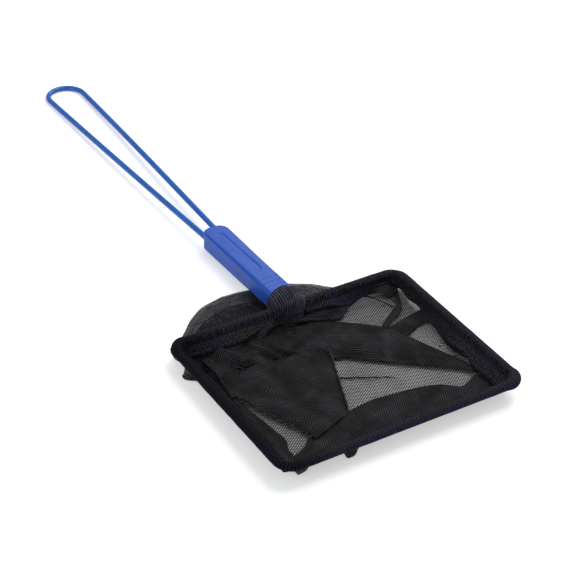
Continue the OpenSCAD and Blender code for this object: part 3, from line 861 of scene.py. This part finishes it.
class NET_OT_hem(bpy.types.Operator):
    """Knits the sleeve round the frame wire and the band that is sewn to the net"""

    bl_idname = "net.hem"
    bl_label = "Hem"

    sides: bpy.props.IntProperty(name="Sides", description="Sides of the sleeve", default=28, min=8)
    point_reach: length("Point reach", "From the wire to the line where the sleeve closes", 5.8)

    def execute(self, context):
        s, size = sizes(), cloth()
        rows, outs = hem_path(HEM_STEP)
        run = run_along(rows)
        places = list(zip(rows, outs, run))
        closing = math.acos(s["hem_r"] * MM / self.point_reach)
        points, uv = [], []
        for place, out, at in places:
            # Two corners of the photographed sleeve are thicker, and it is crumpled near the throat
            corner = max(
                math.exp(-((math.dist(place, spot) / 8) ** 4))
                for spot in ((-3, s["half_w"] - 3), (3 - s["deep"], 3 - s["half_w"]))
            )
            crumple = 0.09 * math.sin(at * 1.9 + 1.2 * math.sin(at * 0.4))
            swell = 0.988 + 0.03 * ripple(at, 0, 3, 9) + CORNER_SWELL * corner
            swell += crumple * math.exp(-((min(at, run[-1] - at) / 38) ** 2))
            swell *= 1 - 0.006 * math.cos(TURN * at / size["rib_pitch"])
            slope = band_shape(place, at, run[-1])[0]
            for a in np.linspace(0, TURN, self.sides + 1):
                off_band = abs((a - slope) % TURN - math.pi)
                r = s["hem_r"] * swell / math.cos(max(0.0, closing - off_band))
                wide = r * math.cos(a) + SLEEVE_EXTRA * max(0.0, math.cos(a)) * (out[0] < 0.5)
                points.append((*(place + out * wide), r * math.sin(a)))
                uv.append((at, 10 - 10 * math.cos(a + math.radians(20))))
        faces = grid_faces(len(rows), self.sides + 1)
        start, columns = len(points), 2 * len(BAND_SHARES)
        for place, out, at in places:
            angle, reach = band_shape(place, at, run[-1])
            lift = np.array([*(-out * math.sin(angle)), math.cos(angle)])
            middle = np.array([band_point(s, place, out, at, run[-1], t) for t in BAND_SHARES])
            thick = size["band_t"] / 2 * (1 - 0.85 * BAND_SHARES[:, None] ** 6) * lift
            points += [*(middle + thick), *(middle - thick)[::-1]]
            uv += [(at, 30 + t * reach) for t in BAND_SHARES]
            uv += [(at, 60 - t * reach) for t in BAND_SHARES[::-1]]
        faces += grid_faces(len(rows), columns, close_columns=True, start=start)
        end = len(points)
        faces += [tuple(range(start, start + columns)), tuple(reversed(range(end - columns, end)))]
        hem = mesh_piece("knit_hem", in_mouth(points), faces, uv)
        # The sleeve's navy outer face turns to the painted-shade black over its top and underside, the band
        # is mostly in that black, and the ribs' tops get a painted highlight
        knit = ribbon_material("navy_knit_ribbon", 2.6, (0.017, 0.017, 0.050), 0.2, 3.0, 8.5)
        finish_piece(hem, knit, "navy_ribbon", "hem_ribbon")
        self.stitches(s, size, places, run[-1])
        return {"FINISHED"}

    def stitches(self, s, size, places, total):
        """Two rows of thread: one where the sleeve closes and one near the band's lower edge."""
        thread, made = thread_material(), stitch_tree()
        for name, share in STITCH_ROWS:
            line = []
            for place, out, at in places:
                if min(at, total - at) < 5:
                    continue
                point = band_point(s, place, out, at, total, share, STITCH_LIFT)
                if not line or math.dist(point, line[-1]) > 0.5:
                    line.append(point)
            row = path_object(name, in_mouth(line))
            run_tree(row, made, {
                "Pitch": size["stitch_pitch"] * MM, "Stitch Length": size["stitch_pitch"] * 0.62 * MM,
                "Thread Radius": size["thread_r"] * MM, "Slant": 0.18, "Material": thread,
            })
            finish_piece(row, thread, "black_thread")


# Throat: the gathered end of the ribbon over the nose of the grip

# Cross sections of the hump: base x, base z, way up in degrees, half width left, half width right, height
STATIONS = [
    (15.6, -4.4, 90, 10.55, 11.4, 12.1), (15.3, -4.4, 90, 11.1, 12.6, 12.9),
    (13.0, -4.4, 90, 11.6, 14.0, 13.6), (9.0, -4.6, 91, 12.1, 14.8, 14.4),
    (4.0, -4.8, 93, 12.6, 14.6, 15.0), (0.5, -4.8, 99, 12.8, 13.8, 15.0),
    (-0.8, -4.8, 110, 12.8, 13.0, 14.4), (-1.0, -4.8, 121, 12.6, 12.2, 13.2),
    (-1.1, -4.8, 131, 12.3, 11.6, 11.8), (-1.2, -4.8, 141, 12.0, 11.0, 10.6),
    (-1.2, -4.8, 151, 11.7, 10.6, 9.5), (-1.2, -4.8, 160, 11.4, 10.2, 8.6),
    (-1.2, -4.8, 170, 11.2, 10.0, 8.1), (-1.5, -5.4, 184, 11.0, 9.8, 8.2),
    (-1.9, -6.2, 200, 10.7, 9.5, 8.5), (-2.3, -7.2, 214, 10.4, 9.2, 8.8),
]
# Places along the top of the rolled edge: x, y, height above the surface and radius
ROLLED_EDGE = [
    (-17.0, -28.0, 3.8, 0.3), (-14.6, -21.2, 4.6, 0.7), (-11.6, -12.2, 5.8, 1.2), (-9.6, -3.0, 7.2, 1.9),
    (-6.8, 5.2, 9.0, 2.7), (-5.2, 13.9, 9.8, 3.2), (-8.0, 22.6, 9.0, 3.1), (-12.4, 29.9, 7.0, 2.6),
    (-17.0, 36.0, 5.0, 2.0), (-20.5, 40.5, 2.6, 1.0),
]
HUMP_ROWS, HUMP_COLUMNS, HUMP_STEP = 84, 241, 0.55
SQUARENESS = 0.62
EDGE_SIDES = 14


class NET_OT_throat(bpy.types.Operator):
    """Gathers the ribbon over the nose of the grip, with ribs that run from the grip to the bag"""

    bl_idname = "net.throat"
    bl_label = "Throat"

    ribs: bpy.props.IntProperty(name="Ribs", description="Ribs over the hump", default=22, min=4)
    rib_rise: length("Rib rise", "Half the height of a rib", 0.45)

    def execute(self, context):
        points, uv = [], []
        b = np.linspace(0, math.pi, 600)
        side = np.sign(np.cos(b)) * np.abs(np.cos(b)) ** SQUARENESS
        ts = np.linspace(0, 1, HUMP_COLUMNS)
        pitch = cloth()["rib_pitch"]
        for i, (bx, bz, degrees, half_left, half_right, high) in enumerate(smooth_path(STATIONS, HUMP_ROWS)):
            run, share = HUMP_STEP * i, i / (HUMP_ROWS - 1)
            a = math.radians(degrees)
            depth = self.rib_rise / MM * smooth_step(share, 0.0, 0.16) * (1 + 0.6 * share)
            lean = 4.5 * (1 - smooth_step(share, 0.0, 0.5))
            half = half_left + (half_right - half_left) * (1 - side) / 2
            section = np.stack([side * half, np.sin(b) ** SQUARENESS * high], axis=1)
            steps = run_along(section)
            pull = 0.10 * ripple(ts * 30, run * 0.5, 11, 3.0) * smooth_step(share, 0.05, 0.4)
            slant = ts + 0.24 * min(share, 0.4)
            rib = depth * np.cos(TURN * self.ribs * (slant + 0.006 * math.sin(run * 0.5))) + pull
            even = resample(section, ts * steps[-1], steps)
            y, up = (even * (1 + rib / np.maximum(1.0, np.hypot(*even.T)))[:, None]).T
            x = bx - lean * smooth_step(y, -5, 11) + math.cos(a) * up
            points.append(np.stack([x, y, bz + math.sin(a) * up], axis=1))
            uv.append(np.stack([(slant * self.ribs + 0.25) * pitch, np.full_like(ts, share * 34)], axis=1))
        faces = grid_faces(HUMP_ROWS, HUMP_COLUMNS, turn=True)
        piece = mesh_piece("gathered_throat", in_handle(points), faces, np.vstack(uv))
        thick = piece.modifiers.new("cloth", "SOLIDIFY")
        thick.thickness = 0.0006
        thick.offset = -1
        # The ribs' tops get a painted highlight, and the far end of the hump, where it turns down to the bag,
        # fades to the painted-shade black
        gathered = ribbon_material("navy_gathered_ribbon", 0.3, (0.047, 0.043, 0.068), 0.55)
        finish_piece(piece, gathered, "navy_ribbon", "throat_wrap")
        # The rolled edge lies mostly in the painted-shade black, with a painted highlight on its ribs
        self.roll(ribbon_material("worn_ribbon_edge", 1.0, (0.030, 0.029, 0.036), 0.35))
        return {"FINISHED"}

    def roll(self, finish):
        """The ribbon's rolled edge, which runs from the hump to both sides on the bag."""
        spine = smooth_path(ROLLED_EDGE, 170)
        ways = np.gradient(spine[:, :2], axis=0)
        ways /= np.linalg.norm(ways, axis=1)[:, None]
        run = run_along(spine[:, :2])
        points, uv = [], []
        for (x, y, top, radius), way, at in zip(spine, ways, run):
            for j in range(EDGE_SIDES + 1):
                a = TURN * j / EDGE_SIDES
                pleat = 1 + 0.07 * math.sin(at * 2.6 + 0.8 * math.sin(at * 0.5) + 0.6 * a)
                r = radius * pleat * (1 + 0.12 * ripple(at, j % EDGE_SIDES, 41, 5.0))
                level = surface_z(x) + top - radius * 0.8 + r * 0.8 * math.sin(a)
                points.append((x - way[1] * r * math.cos(a), y + way[0] * r * math.cos(a), level))
                uv.append((at, 26 + a * radius))
        piece = mesh_piece("rolled_ribbon_edge", in_mouth(points), grid_faces(len(spine), EDGE_SIDES + 1), uv)
        finish_piece(piece, finish, "navy_ribbon")


# Bag

# How far the net bulges out behind the rear wire, by place across the mouth
LOBE_REACH = [
    (-1, 1), (-0.75, 4.8), (-0.62, 12.4), (-0.545, 18.8), (-0.417, 30), (-0.27, 37.8), (-0.1, 42.8),
    (0.06, 45.4), (0.16, 46.8), (0.283, 47.3), (0.39, 45.4), (0.484, 42.8), (0.56, 39.2), (0.648, 33.3),
    (0.765, 22.2), (0.87, 12), (0.95, 5), (1, 1),
]
# Places where the cloth hangs out below the hem: where on the wire, how far out its foot is, how wide it is
PEEKS = [
    ((-150.5, 43), -3.0, 6.5), ((-150.5, 84), -6.5, 5.0),
    ((-22, 95.75), 3.2, 6.5), ((-88, -95.75), -7.0, 8.0),
]
TUCK = 16.0
BAND_ZONE = 13.6
SLOPE_ROWS, FLOOR_ROWS = 16, 44

# The doubled folds: seed, height above the surface, how far the top stands off, outer line, folded line,
# and what differs from the usual fold
FOLDS = (
    # Second and third thickness inside the bulge behind the mouth
    (3, 1.6, 0.6, [(-2, 84), (-2, 60), (-2, 30), (-2, 8)], [(8, 78), (26, 54), (33, 28), (30, 8)],
     dict(ridge=0.7, turn=0.5, start_level=6, rows=70, drawn=0.1)),
    (16, 1.8, 0.5, [(-2, 10), (-2, -10), (-2, -24), (-2, -34)], [(30, 12), (20, -8), (10, -22), (3, -33)],
     dict(ridge=0.6, turn=0.8, start_level=5, rows=60, under=0.7, drawn=0.1)),
    # Rear left folds, from the hem to the middle
    (4, 1.9, 1.7, [(-3, 88), (-3, 55), (-3, 20), (-3, -14)],
     [(-46, 84), (-40, 64), (-35, 45), (-38, 29), (-41, 7), (-40, -8)],
     dict(ridge=1.6, ridges=5, turn=0.9, start_level=7.5, rows=110)),
    (5, 3.6, 3.4, [(-3, 86), (-12, 79), (-26, 73), (-40, 70)], [(-3, 70), (-10, 57), (-22, 48.6), (-35, 45)],
     dict(ridge=2.0, ridges=4, turn=0.2, rows=80, both=True)),
    (17, 3.0, 3.2, [(-3, 91), (-14, 88), (-34, 85), (-60, 84)], [(-3, 84), (-14, 77), (-34, 73), (-60, 78)],
     dict(ridge=1.8, ridges=4, turn=1.1, rows=80, both=True)),
    (18, 3.2, 2.6, [(-4, 48), (-12, 44), (-24, 40), (-38, 38)], [(-4, 30), (-14, 28), (-26, 22), (-42, 12)],
     dict(ridge=2.0, ridges=5, turn=0.5, rows=80, both=True)),
    # Left side
    (6, 1.7, 0.9, [(-143, 90.5), (-110, 92), (-60, 92), (-6, 91.5)],
     [(-143, 84), (-130, 75), (-122.2, 74.5), (-112.3, 71), (-101, 72.2), (-87.8, 74.1), (-77.2, 75.9),
      (-66, 77), (-57, 78.2), (-40, 76), (-12, 76)],
     dict(ridge=0.6, ridges=4, turn=0.3, start_level=8.5, under=0.85, rows=150)),
    # Rear right, from the throat to the single wall
    (7, 2.4, 1.6, [(-2.6, 2), (-2.6, -22), (-2.6, -42), (-2.2, -61)],
     [(-22, 2), (-16, -16), (-17.4, -26.1), (-17.8, -36.7), (-8.6, -48.2), (-2.0, -57.4), (-1.6, -62)],
     dict(ridge=1.0, ridges=3.5, turn=0.7, start_level=7.5, rows=110)),
    (19, 5.0, 0.9, [(-1.6, -66), (-2, -76), (-2, -85), (-2, -93.5)],
     [(-2.6, -67.5), (-8.2, -75.6), (-12.6, -80.6), (-12.9, -88.2), (-5, -94.2)],
     dict(ridge=0.6, turn=0.9, start_level=8, rows=70, columns=18)),
    # Great fold from the throat to the far right corner
    (8, 2.6, 2.3,
     [(-8, 2), (-12, -12), (-21.7, -31.8), (-40.6, -55.5), (-56.5, -65), (-81.3, -75.6), (-103, -85),
      (-128, -91)],
     [(-46, 22), (-44, 8), (-54.5, -2.5), (-58.6, -12.4), (-67, -22.4), (-84, -45.1), (-103.9, -71.4),
      (-113.8, -82.2), (-129, -91.6)],
     dict(ridge=0.9, ridges=3.4, turn=-0.9, both=True, rows=150, columns=34)),
    # Strap between the two gaps on the right, and the patch in front of it
    (9, 3.0, 1.0, [(-3.4, -93.4), (-10.7, -88.2), (-23, -80.4), (-27, -75), (-33, -66), (-40, -56)],
     [(-5, -94.6), (-12.8, -89.8), (-25.6, -83.6), (-32.4, -78.8), (-38.5, -68), (-44.6, -57.2)],
     dict(ridge=0.15, both=True, rows=80, columns=14, turn=0.4)),
    (10, 1.7, 1.0, [(-43.4, -58.8), (-39.6, -74.5), (-37, -88.8), (-36, -93)],
     [(-58, -66.4), (-54.8, -74.6), (-51.5, -82.4), (-53.4, -93)],
     dict(ridge=0.6, both=True, rows=60, columns=20, turn=0.8)),
    # Right side, in front
    (11, 2.0, 1.6, [(-50, -92.6), (-80, -92.8), (-115, -92.8), (-147, -92)],
     [(-51.5, -91.2), (-61.3, -89.3), (-67.2, -88), (-80.4, -85.6), (-90.5, -85.9), (-99.8, -88.5),
      (-112, -89.6), (-130, -87)],
     dict(ridge=1.0, turn=0.3, start_level=5.5, rows=100, drawn=1.3)),
    # Front, from corner to corner
    (12, 2.0, 1.5, [(-146, -91), (-147.2, -60), (-147.2, 0), (-147.2, 50), (-146, 89)],
     [(-124, -91), (-117.6, -83.6), (-120.3, -76.3), (-123.4, -67), (-116.2, -56.7), (-111.2, -44.5),
      (-108.5, -29.7), (-107, -17.1), (-105.9, -2.3), (-108.4, 17.8), (-115.1, 37.5), (-119, 56),
      (-125.1, 64.6), (-129.9, 74.9), (-140, 86)],
     dict(ridge=0.9, ridges=2.6, turn=0.25, start_level=10.5, rows=190, columns=30, under=0.85)),
    # Middle patch with its sewn edge
    (13, 3.6, 0.9,
     [(-33, 78), (-55.1, 78), (-63.2, 77), (-69.9, 74.2), (-79.9, 71.1), (-94.4, 64.5), (-107, 58.7),
      (-123, 53.6)],
     [(-39.5, 7), (-46.9, -3), (-55.5, -3.4), (-65.7, 1.2), (-84.4, 8.5), (-111, 19)],
     dict(edge_half=0.5, ridge=0.55, ridges=4, turn=0.2, both=True, rows=120, columns=44)),
    # Small creases in the single layer
    (14, 1.3, 0.3, [(-73.2, 4.2), (-81, -11.6), (-88.6, -26.2), (-92.4, -31.8)],
     [(-75.4, 3.2), (-82.9, -12.6), (-89.9, -27.0), (-92.6, -32)],
     dict(ridge=0.0, both=True, rows=50, columns=8)),
    (15, 2.2, 0.4, [(-0.6, -58.5), (-4.4, -66.4), (-14.2, -72.4), (-24.2, -75.8)],
     [(-1.0, -60.1), (-5.0, -68.0), (-14.8, -74.2), (-24.8, -77.4)],
     dict(ridge=0.0, both=True, rows=40, columns=8)),
    (20, 2.8, 0.4, [(-9, -78.6), (-15, -79.6), (-23, -80.2)], [(-9.4, -79.8), (-15.2, -81), (-23.2, -81.6)],
     dict(ridge=0.0, both=True, rows=30, columns=8)),
)
# The sewn edges: name, CAD node, line and height above the surface
SEAMS = (
    ("right_overlock", "right_bag_seam",
     [(-43.5, -0.3), (-50, -4.3), (-65.2, 1.0), (-83.9, 8.3), (-107.5, 17.6)], 6.0),
    ("left_overlock", "left_bag_seam", [(-64, 75.4), (-82.5, 71.1), (-101.8, 63.4), (-116, 57.2)], 4.6),
)


def slope_low(inset):
    """Lowest level of the tucked wall below the plane of the wires."""
    return -np.maximum(3.7, 3.4 + (inset - 2.3) * 0.75)


def ceiling(x, y):
    """Highest level of the cloth above the surface: under the hem, the band, the hump and the grip."""
    inset = inset_at(x, y)
    drop = np.maximum(3.5, 3.0 + (inset - 2.3) * 0.75)
    level = np.where(inset < BAND_ZONE, -surface_z(x) - drop, 40.0)
    grip_level = -surface_z(x) - 7.7 - np.clip(x, 0, 60) * 0.02
    return np.where((np.abs(y) < 13.5) & (x > -14), np.minimum(level, grip_level), level)


def hidden_low(x, y):
    """Least height of the cloth near the front and left wires: there the hem hides it from the camera."""
    s = sizes()
    deep = np.minimum(4.0 + 0.82 * (x + s["deep"]), 5.0 + 1.4 * (s["half_w"] - y))
    return -surface_z(x) - deep


class ClothSheets:
    """Gathers the layers of the bag into one mesh."""

    def __init__(self):
        self.points, self.uv, self.gather, self.faces = [], [], [], []
        self.count = 0

    def add(self, points, uv, gather, close_rows=False):
        """Adds a grid of points, with its UV and how closely its threads lie."""
        rows, columns = points.shape[:2]
        self.faces += grid_faces(rows, columns, close_rows=close_rows, start=self.count, turn=True)
        self.points.append(points.reshape(-1, 3))
        self.uv.append(uv.reshape(-1, 2))
        self.gather.append(gather.ravel())
        self.count += rows * columns

    def fold(self, seed, level, puff, outer, edge, under=0.95, rows=120, columns=26, edge_half=0.7,
             ridge=0.5, ridges=3.0, turn=0.0, start_level=None, both=False, drawn=2.3):
        """A doubled layer of net: it runs from its outer line to a rounded fold, turns under and runs back.

        level is the height of its middle above the surface, puff how far its top stands off there. ridge and
        ridges are the height and number of the soft folds that run along it. both also closes its outer line
        with a fold, and then the lower layer runs all the way back. drawn is how closely the threads lie.
        """
        outer, edge = smooth_path(outer, rows), smooth_path(edge, rows)
        top_t = 1 - np.linspace(1, 0, columns) ** 1.7
        low_t = 1 - np.linspace(0, 1, max(6, columns // 2)) ** 1.4 * (1.0 if both else under)
        t = np.concatenate([top_t, low_t[1:]])[None, :]
        is_top = (np.arange(t.size) < columns)[None, :]
        width = np.linalg.norm(edge - outer, axis=1)[:, None]
        along = run_along((edge + outer) / 2)[:, None]
        x, y = np.moveaxis(outer[:, None] + (edge - outer)[:, None] * t[..., None], -1, 0)
        gap = (1 - t) * width
        if both:
            gap = np.minimum(gap, t * width)
        round_off = np.sqrt(np.clip(1 - (1 - np.clip(gap / 1.6, 0, 1)) ** 2, 0, 1))
        swell = smooth_step(gap, 0.5, 9)
        if both:
            at = np.linspace(0, 1, rows)[:, None]
            swell = swell * smooth_step(at, 0.0, 0.16) * smooth_step(1 - at, 0.0, 0.08)
        soft = ripple(t * ridges * 8 + 0.03 * along, along / 6.5, seed, 7.0)
        fine = ripple(x, y, seed + 40, 11.0)
        top = level + edge_half * round_off + puff * swell
        top = top + ridge * soft * smooth_step(gap, 0.3, 4) + 0.25 * fine * swell
        if start_level is not None:
            top = top + (start_level - level) * (1 - smooth_step(t, 0, 0.35))
        height = np.where(is_top, top, level - 0.5 * edge_half * round_off + 0.15 * fine)
        height = np.minimum(height, ceiling(x, y) - np.where(is_top, 0.15, 0.5))
        height = np.maximum(height, np.where(is_top, 0.75, 0.45))
        height = np.maximum(height, hidden_low(x, y) + np.where(is_top, 0.5, 0.1))
        across = np.where(is_top, t, 2 - t) * width
        c, n = math.cos(turn), math.sin(turn)
        uv = np.stack([c * along - n * across + 13 * seed, n * along + c * across], axis=-1)
        gather = drawn + 0.3 * ripple(x, y, seed + 60, 15.0)
        self.add(np.stack([x, y, surface_z(x) + height], axis=-1), uv, gather)

    def pan(self):
        """The lowest layer: it slopes from the hem to the surface, and bulges far out behind the mouth."""
        s = sizes()
        rows, outs = hem_path(2.0)
        gap_y = np.linspace(-s["throat_y"], s["throat_y"], 14)[1:-1]
        rows = np.vstack([rows, np.stack([np.zeros(12), gap_y], axis=1)])
        outs = np.vstack([outs, np.tile([1.0, 0.0], (12, 1))])
        middle = np.array([s["mid_x"], 0.0])
        inwards = (middle - rows) / np.abs(((middle - rows) * outs).sum(axis=1))[:, None]
        points = np.zeros((len(rows), SLOPE_ROWS + FLOOR_ROWS, 3))
        uv = np.zeros((len(rows), SLOPE_ROWS + FLOOR_ROWS, 2))
        lobe_y, lobe_reach = zip(*LOBE_REACH)
        for i, (place, out) in enumerate(zip(rows, outs)):
            lift = smooth_step(-place[0], 1, 12) if out[1] > 0.2 else smooth_step(-place[0], 14, 40)
            lobe = np.interp(place[1] / s["half_w"], lobe_y, lobe_reach)
            foot = max(0.4, lobe * max(0.0, out[0])) * (1 - lift) - TUCK * lift
            hang = 0.0
            for at, reach, spread in PEEKS:
                near = math.exp(-((math.dist(place, at) / spread) ** 4))
                foot = max(foot, foot + (reach - foot) * near)
                hang = max(hang, near)
            foot += 0.5 * ripple(place[0], place[1], 5, 14)
            base = place - out * 0.6
            tip = place + out * foot if foot > 0 else place + inwards[i] * -foot
            start = -surface_z(base[0]) - 3.7
            power = 0.85 if foot > 8 else 1.0 + 1.6 * hang
            run = 0.0
            for j, share in enumerate(np.linspace(0, 1, SLOPE_ROWS)):
                x, y = base + (tip - base) * share
                wave = math.sin(math.pi * share) * min(1, abs(foot) / 18)
                h = 1.0 + (start - 1.0) * (1 - share) ** power
                h += (ripple(x, y, 21, 15) + 0.8 * ripple(y * 2.2, x * 0.5, 24, 9)) * wave
                if abs(y) < 13.5:
                    h = min(h, ceiling(x, y) - 0.2)
                if foot < 0:
                    h = min(h, slope_low(inset_at(x, y)) - surface_z(x))
                points[i, j] = (x, y, surface_z(x) + max(h, 0.8))
                if j:
                    run += math.dist(points[i, j], points[i, j - 1])
                uv[i, j] = base + out * (run if foot > 0 else -run) + 0.37
            for j, share in enumerate(np.linspace(0, 1, FLOOR_ROWS + 1)[1:], SLOPE_ROWS):
                x, y = uv[i, j] = tip + (middle - tip) * share
                h = 0.35 + 0.45 * smooth_step(share, 0.05, 0.4) * (1 + ripple(x, y, 31, 17))
                crease = max(0.0, ripple(x * 0.6 + y * 1.4, y * 0.2, 33, 8))
                h += 0.5 * crease * smooth_step(share, 0.1, 0.3)
                points[i, j] = (x, y, surface_z(x) + max(h, 0.15))
        x, y = points[..., 0], points[..., 1]
        inside = smooth_step(inset_at(x, y), 2, 10)
        gather = inside * (0.1 + 0.35 * smooth_step(x, -60, -30) * smooth_step(-y, 5, 20))
        strip = np.exp(-(((x + 12) * 0.42 - (y + 75.5) * 0.91) / 2.6) ** 2) * smooth_step(x, -24, -20)
        self.add(points, uv, gather - 0.1 * (1 - inside) - 0.55 * strip * inside, close_rows=True)


class NET_OT_bag(bpy.types.Operator):
    """Lays out the slack bag: one layer on the surface, and doubled folds that leave five places single"""

    bl_idname = "net.bag"
    bl_label = "Bag"

    def execute(self, context):
        sheets = ClothSheets()
        sheets.pan()
        for seed, level, puff, outer, edge, rest in FOLDS:
            sheets.fold(seed, level, puff, outer, edge, **rest)
        bag = mesh_piece("mesh_bag", in_mouth(np.vstack(sheets.points)), sheets.faces, np.vstack(sheets.uv))
        drawn = bag.data.attributes.new("gather", "FLOAT", "POINT")
        drawn.data.foreach_set("value", np.concatenate(sheets.gather).astype(np.float32))
        finish_piece(bag, mesh_material(), "black_mesh", "net_bag")
        self.sew(bag)
        return {"FINISHED"}

    def sew(self, bag):
        """Overlocks the sewn edges of the bag with thread."""
        thread, made, size = thread_material(), stitch_tree(), cloth()
        for name, node, line, level in SEAMS:
            path = smooth_path(line, 90)
            row = path_object(name, in_mouth(np.column_stack([path, surface_z(path[:, 0]) + level])))
            run_tree(row, made, {
                "Pitch": size["overlock_pitch"] * MM, "Stitch Length": 2.8 * MM,
                "Thread Radius": size["thread_r"] * 2.4 * MM, "Slant": 1.25, "Material": thread,
            })
            finish_piece(row, thread, "black_thread", node)


# Panel and registration

MAKERS = (NET_OT_stage, NET_OT_wires, NET_OT_grip, NET_OT_hem, NET_OT_throat, NET_OT_bag)
GROUPS = {"net_frame": NetFrameSizes, "net_cloth": NetClothSizes, "net_colours": NetColours}


class NET_PT_panel(bpy.types.Panel):
    """Lists the makers and their sizes"""

    bl_label = "Fish Net"
    bl_idname = "NET_PT_panel"
    bl_space_type = "VIEW_3D"
    bl_region_type = "UI"
    bl_category = "Fish Net"

    def draw(self, context):
        for maker in MAKERS:
            self.layout.operator(maker.bl_idname)
        for name, group in GROUPS.items():
            box = self.layout.box()
            for key in group.__annotations__:
                box.prop(getattr(context.scene, name), key)


CLASSES = (*GROUPS.values(), *MAKERS, NET_PT_panel)


def register():
    for cls in CLASSES:
        bpy.utils.register_class(cls)
    for name, group in GROUPS.items():
        setattr(bpy.types.Scene, name, bpy.props.PointerProperty(type=group))


def unregister():
    for name in GROUPS:
        delattr(bpy.types.Scene, name)
    for cls in reversed(CLASSES):
        bpy.utils.unregister_class(cls)


def main():
    register()
    bpy.ops.net.stage()
    bpy.ops.net.wires()
    bpy.ops.net.grip()
    bpy.ops.net.hem()
    bpy.ops.net.throat()
    bpy.ops.net.bag()


if __name__ == "__main__":
    main()
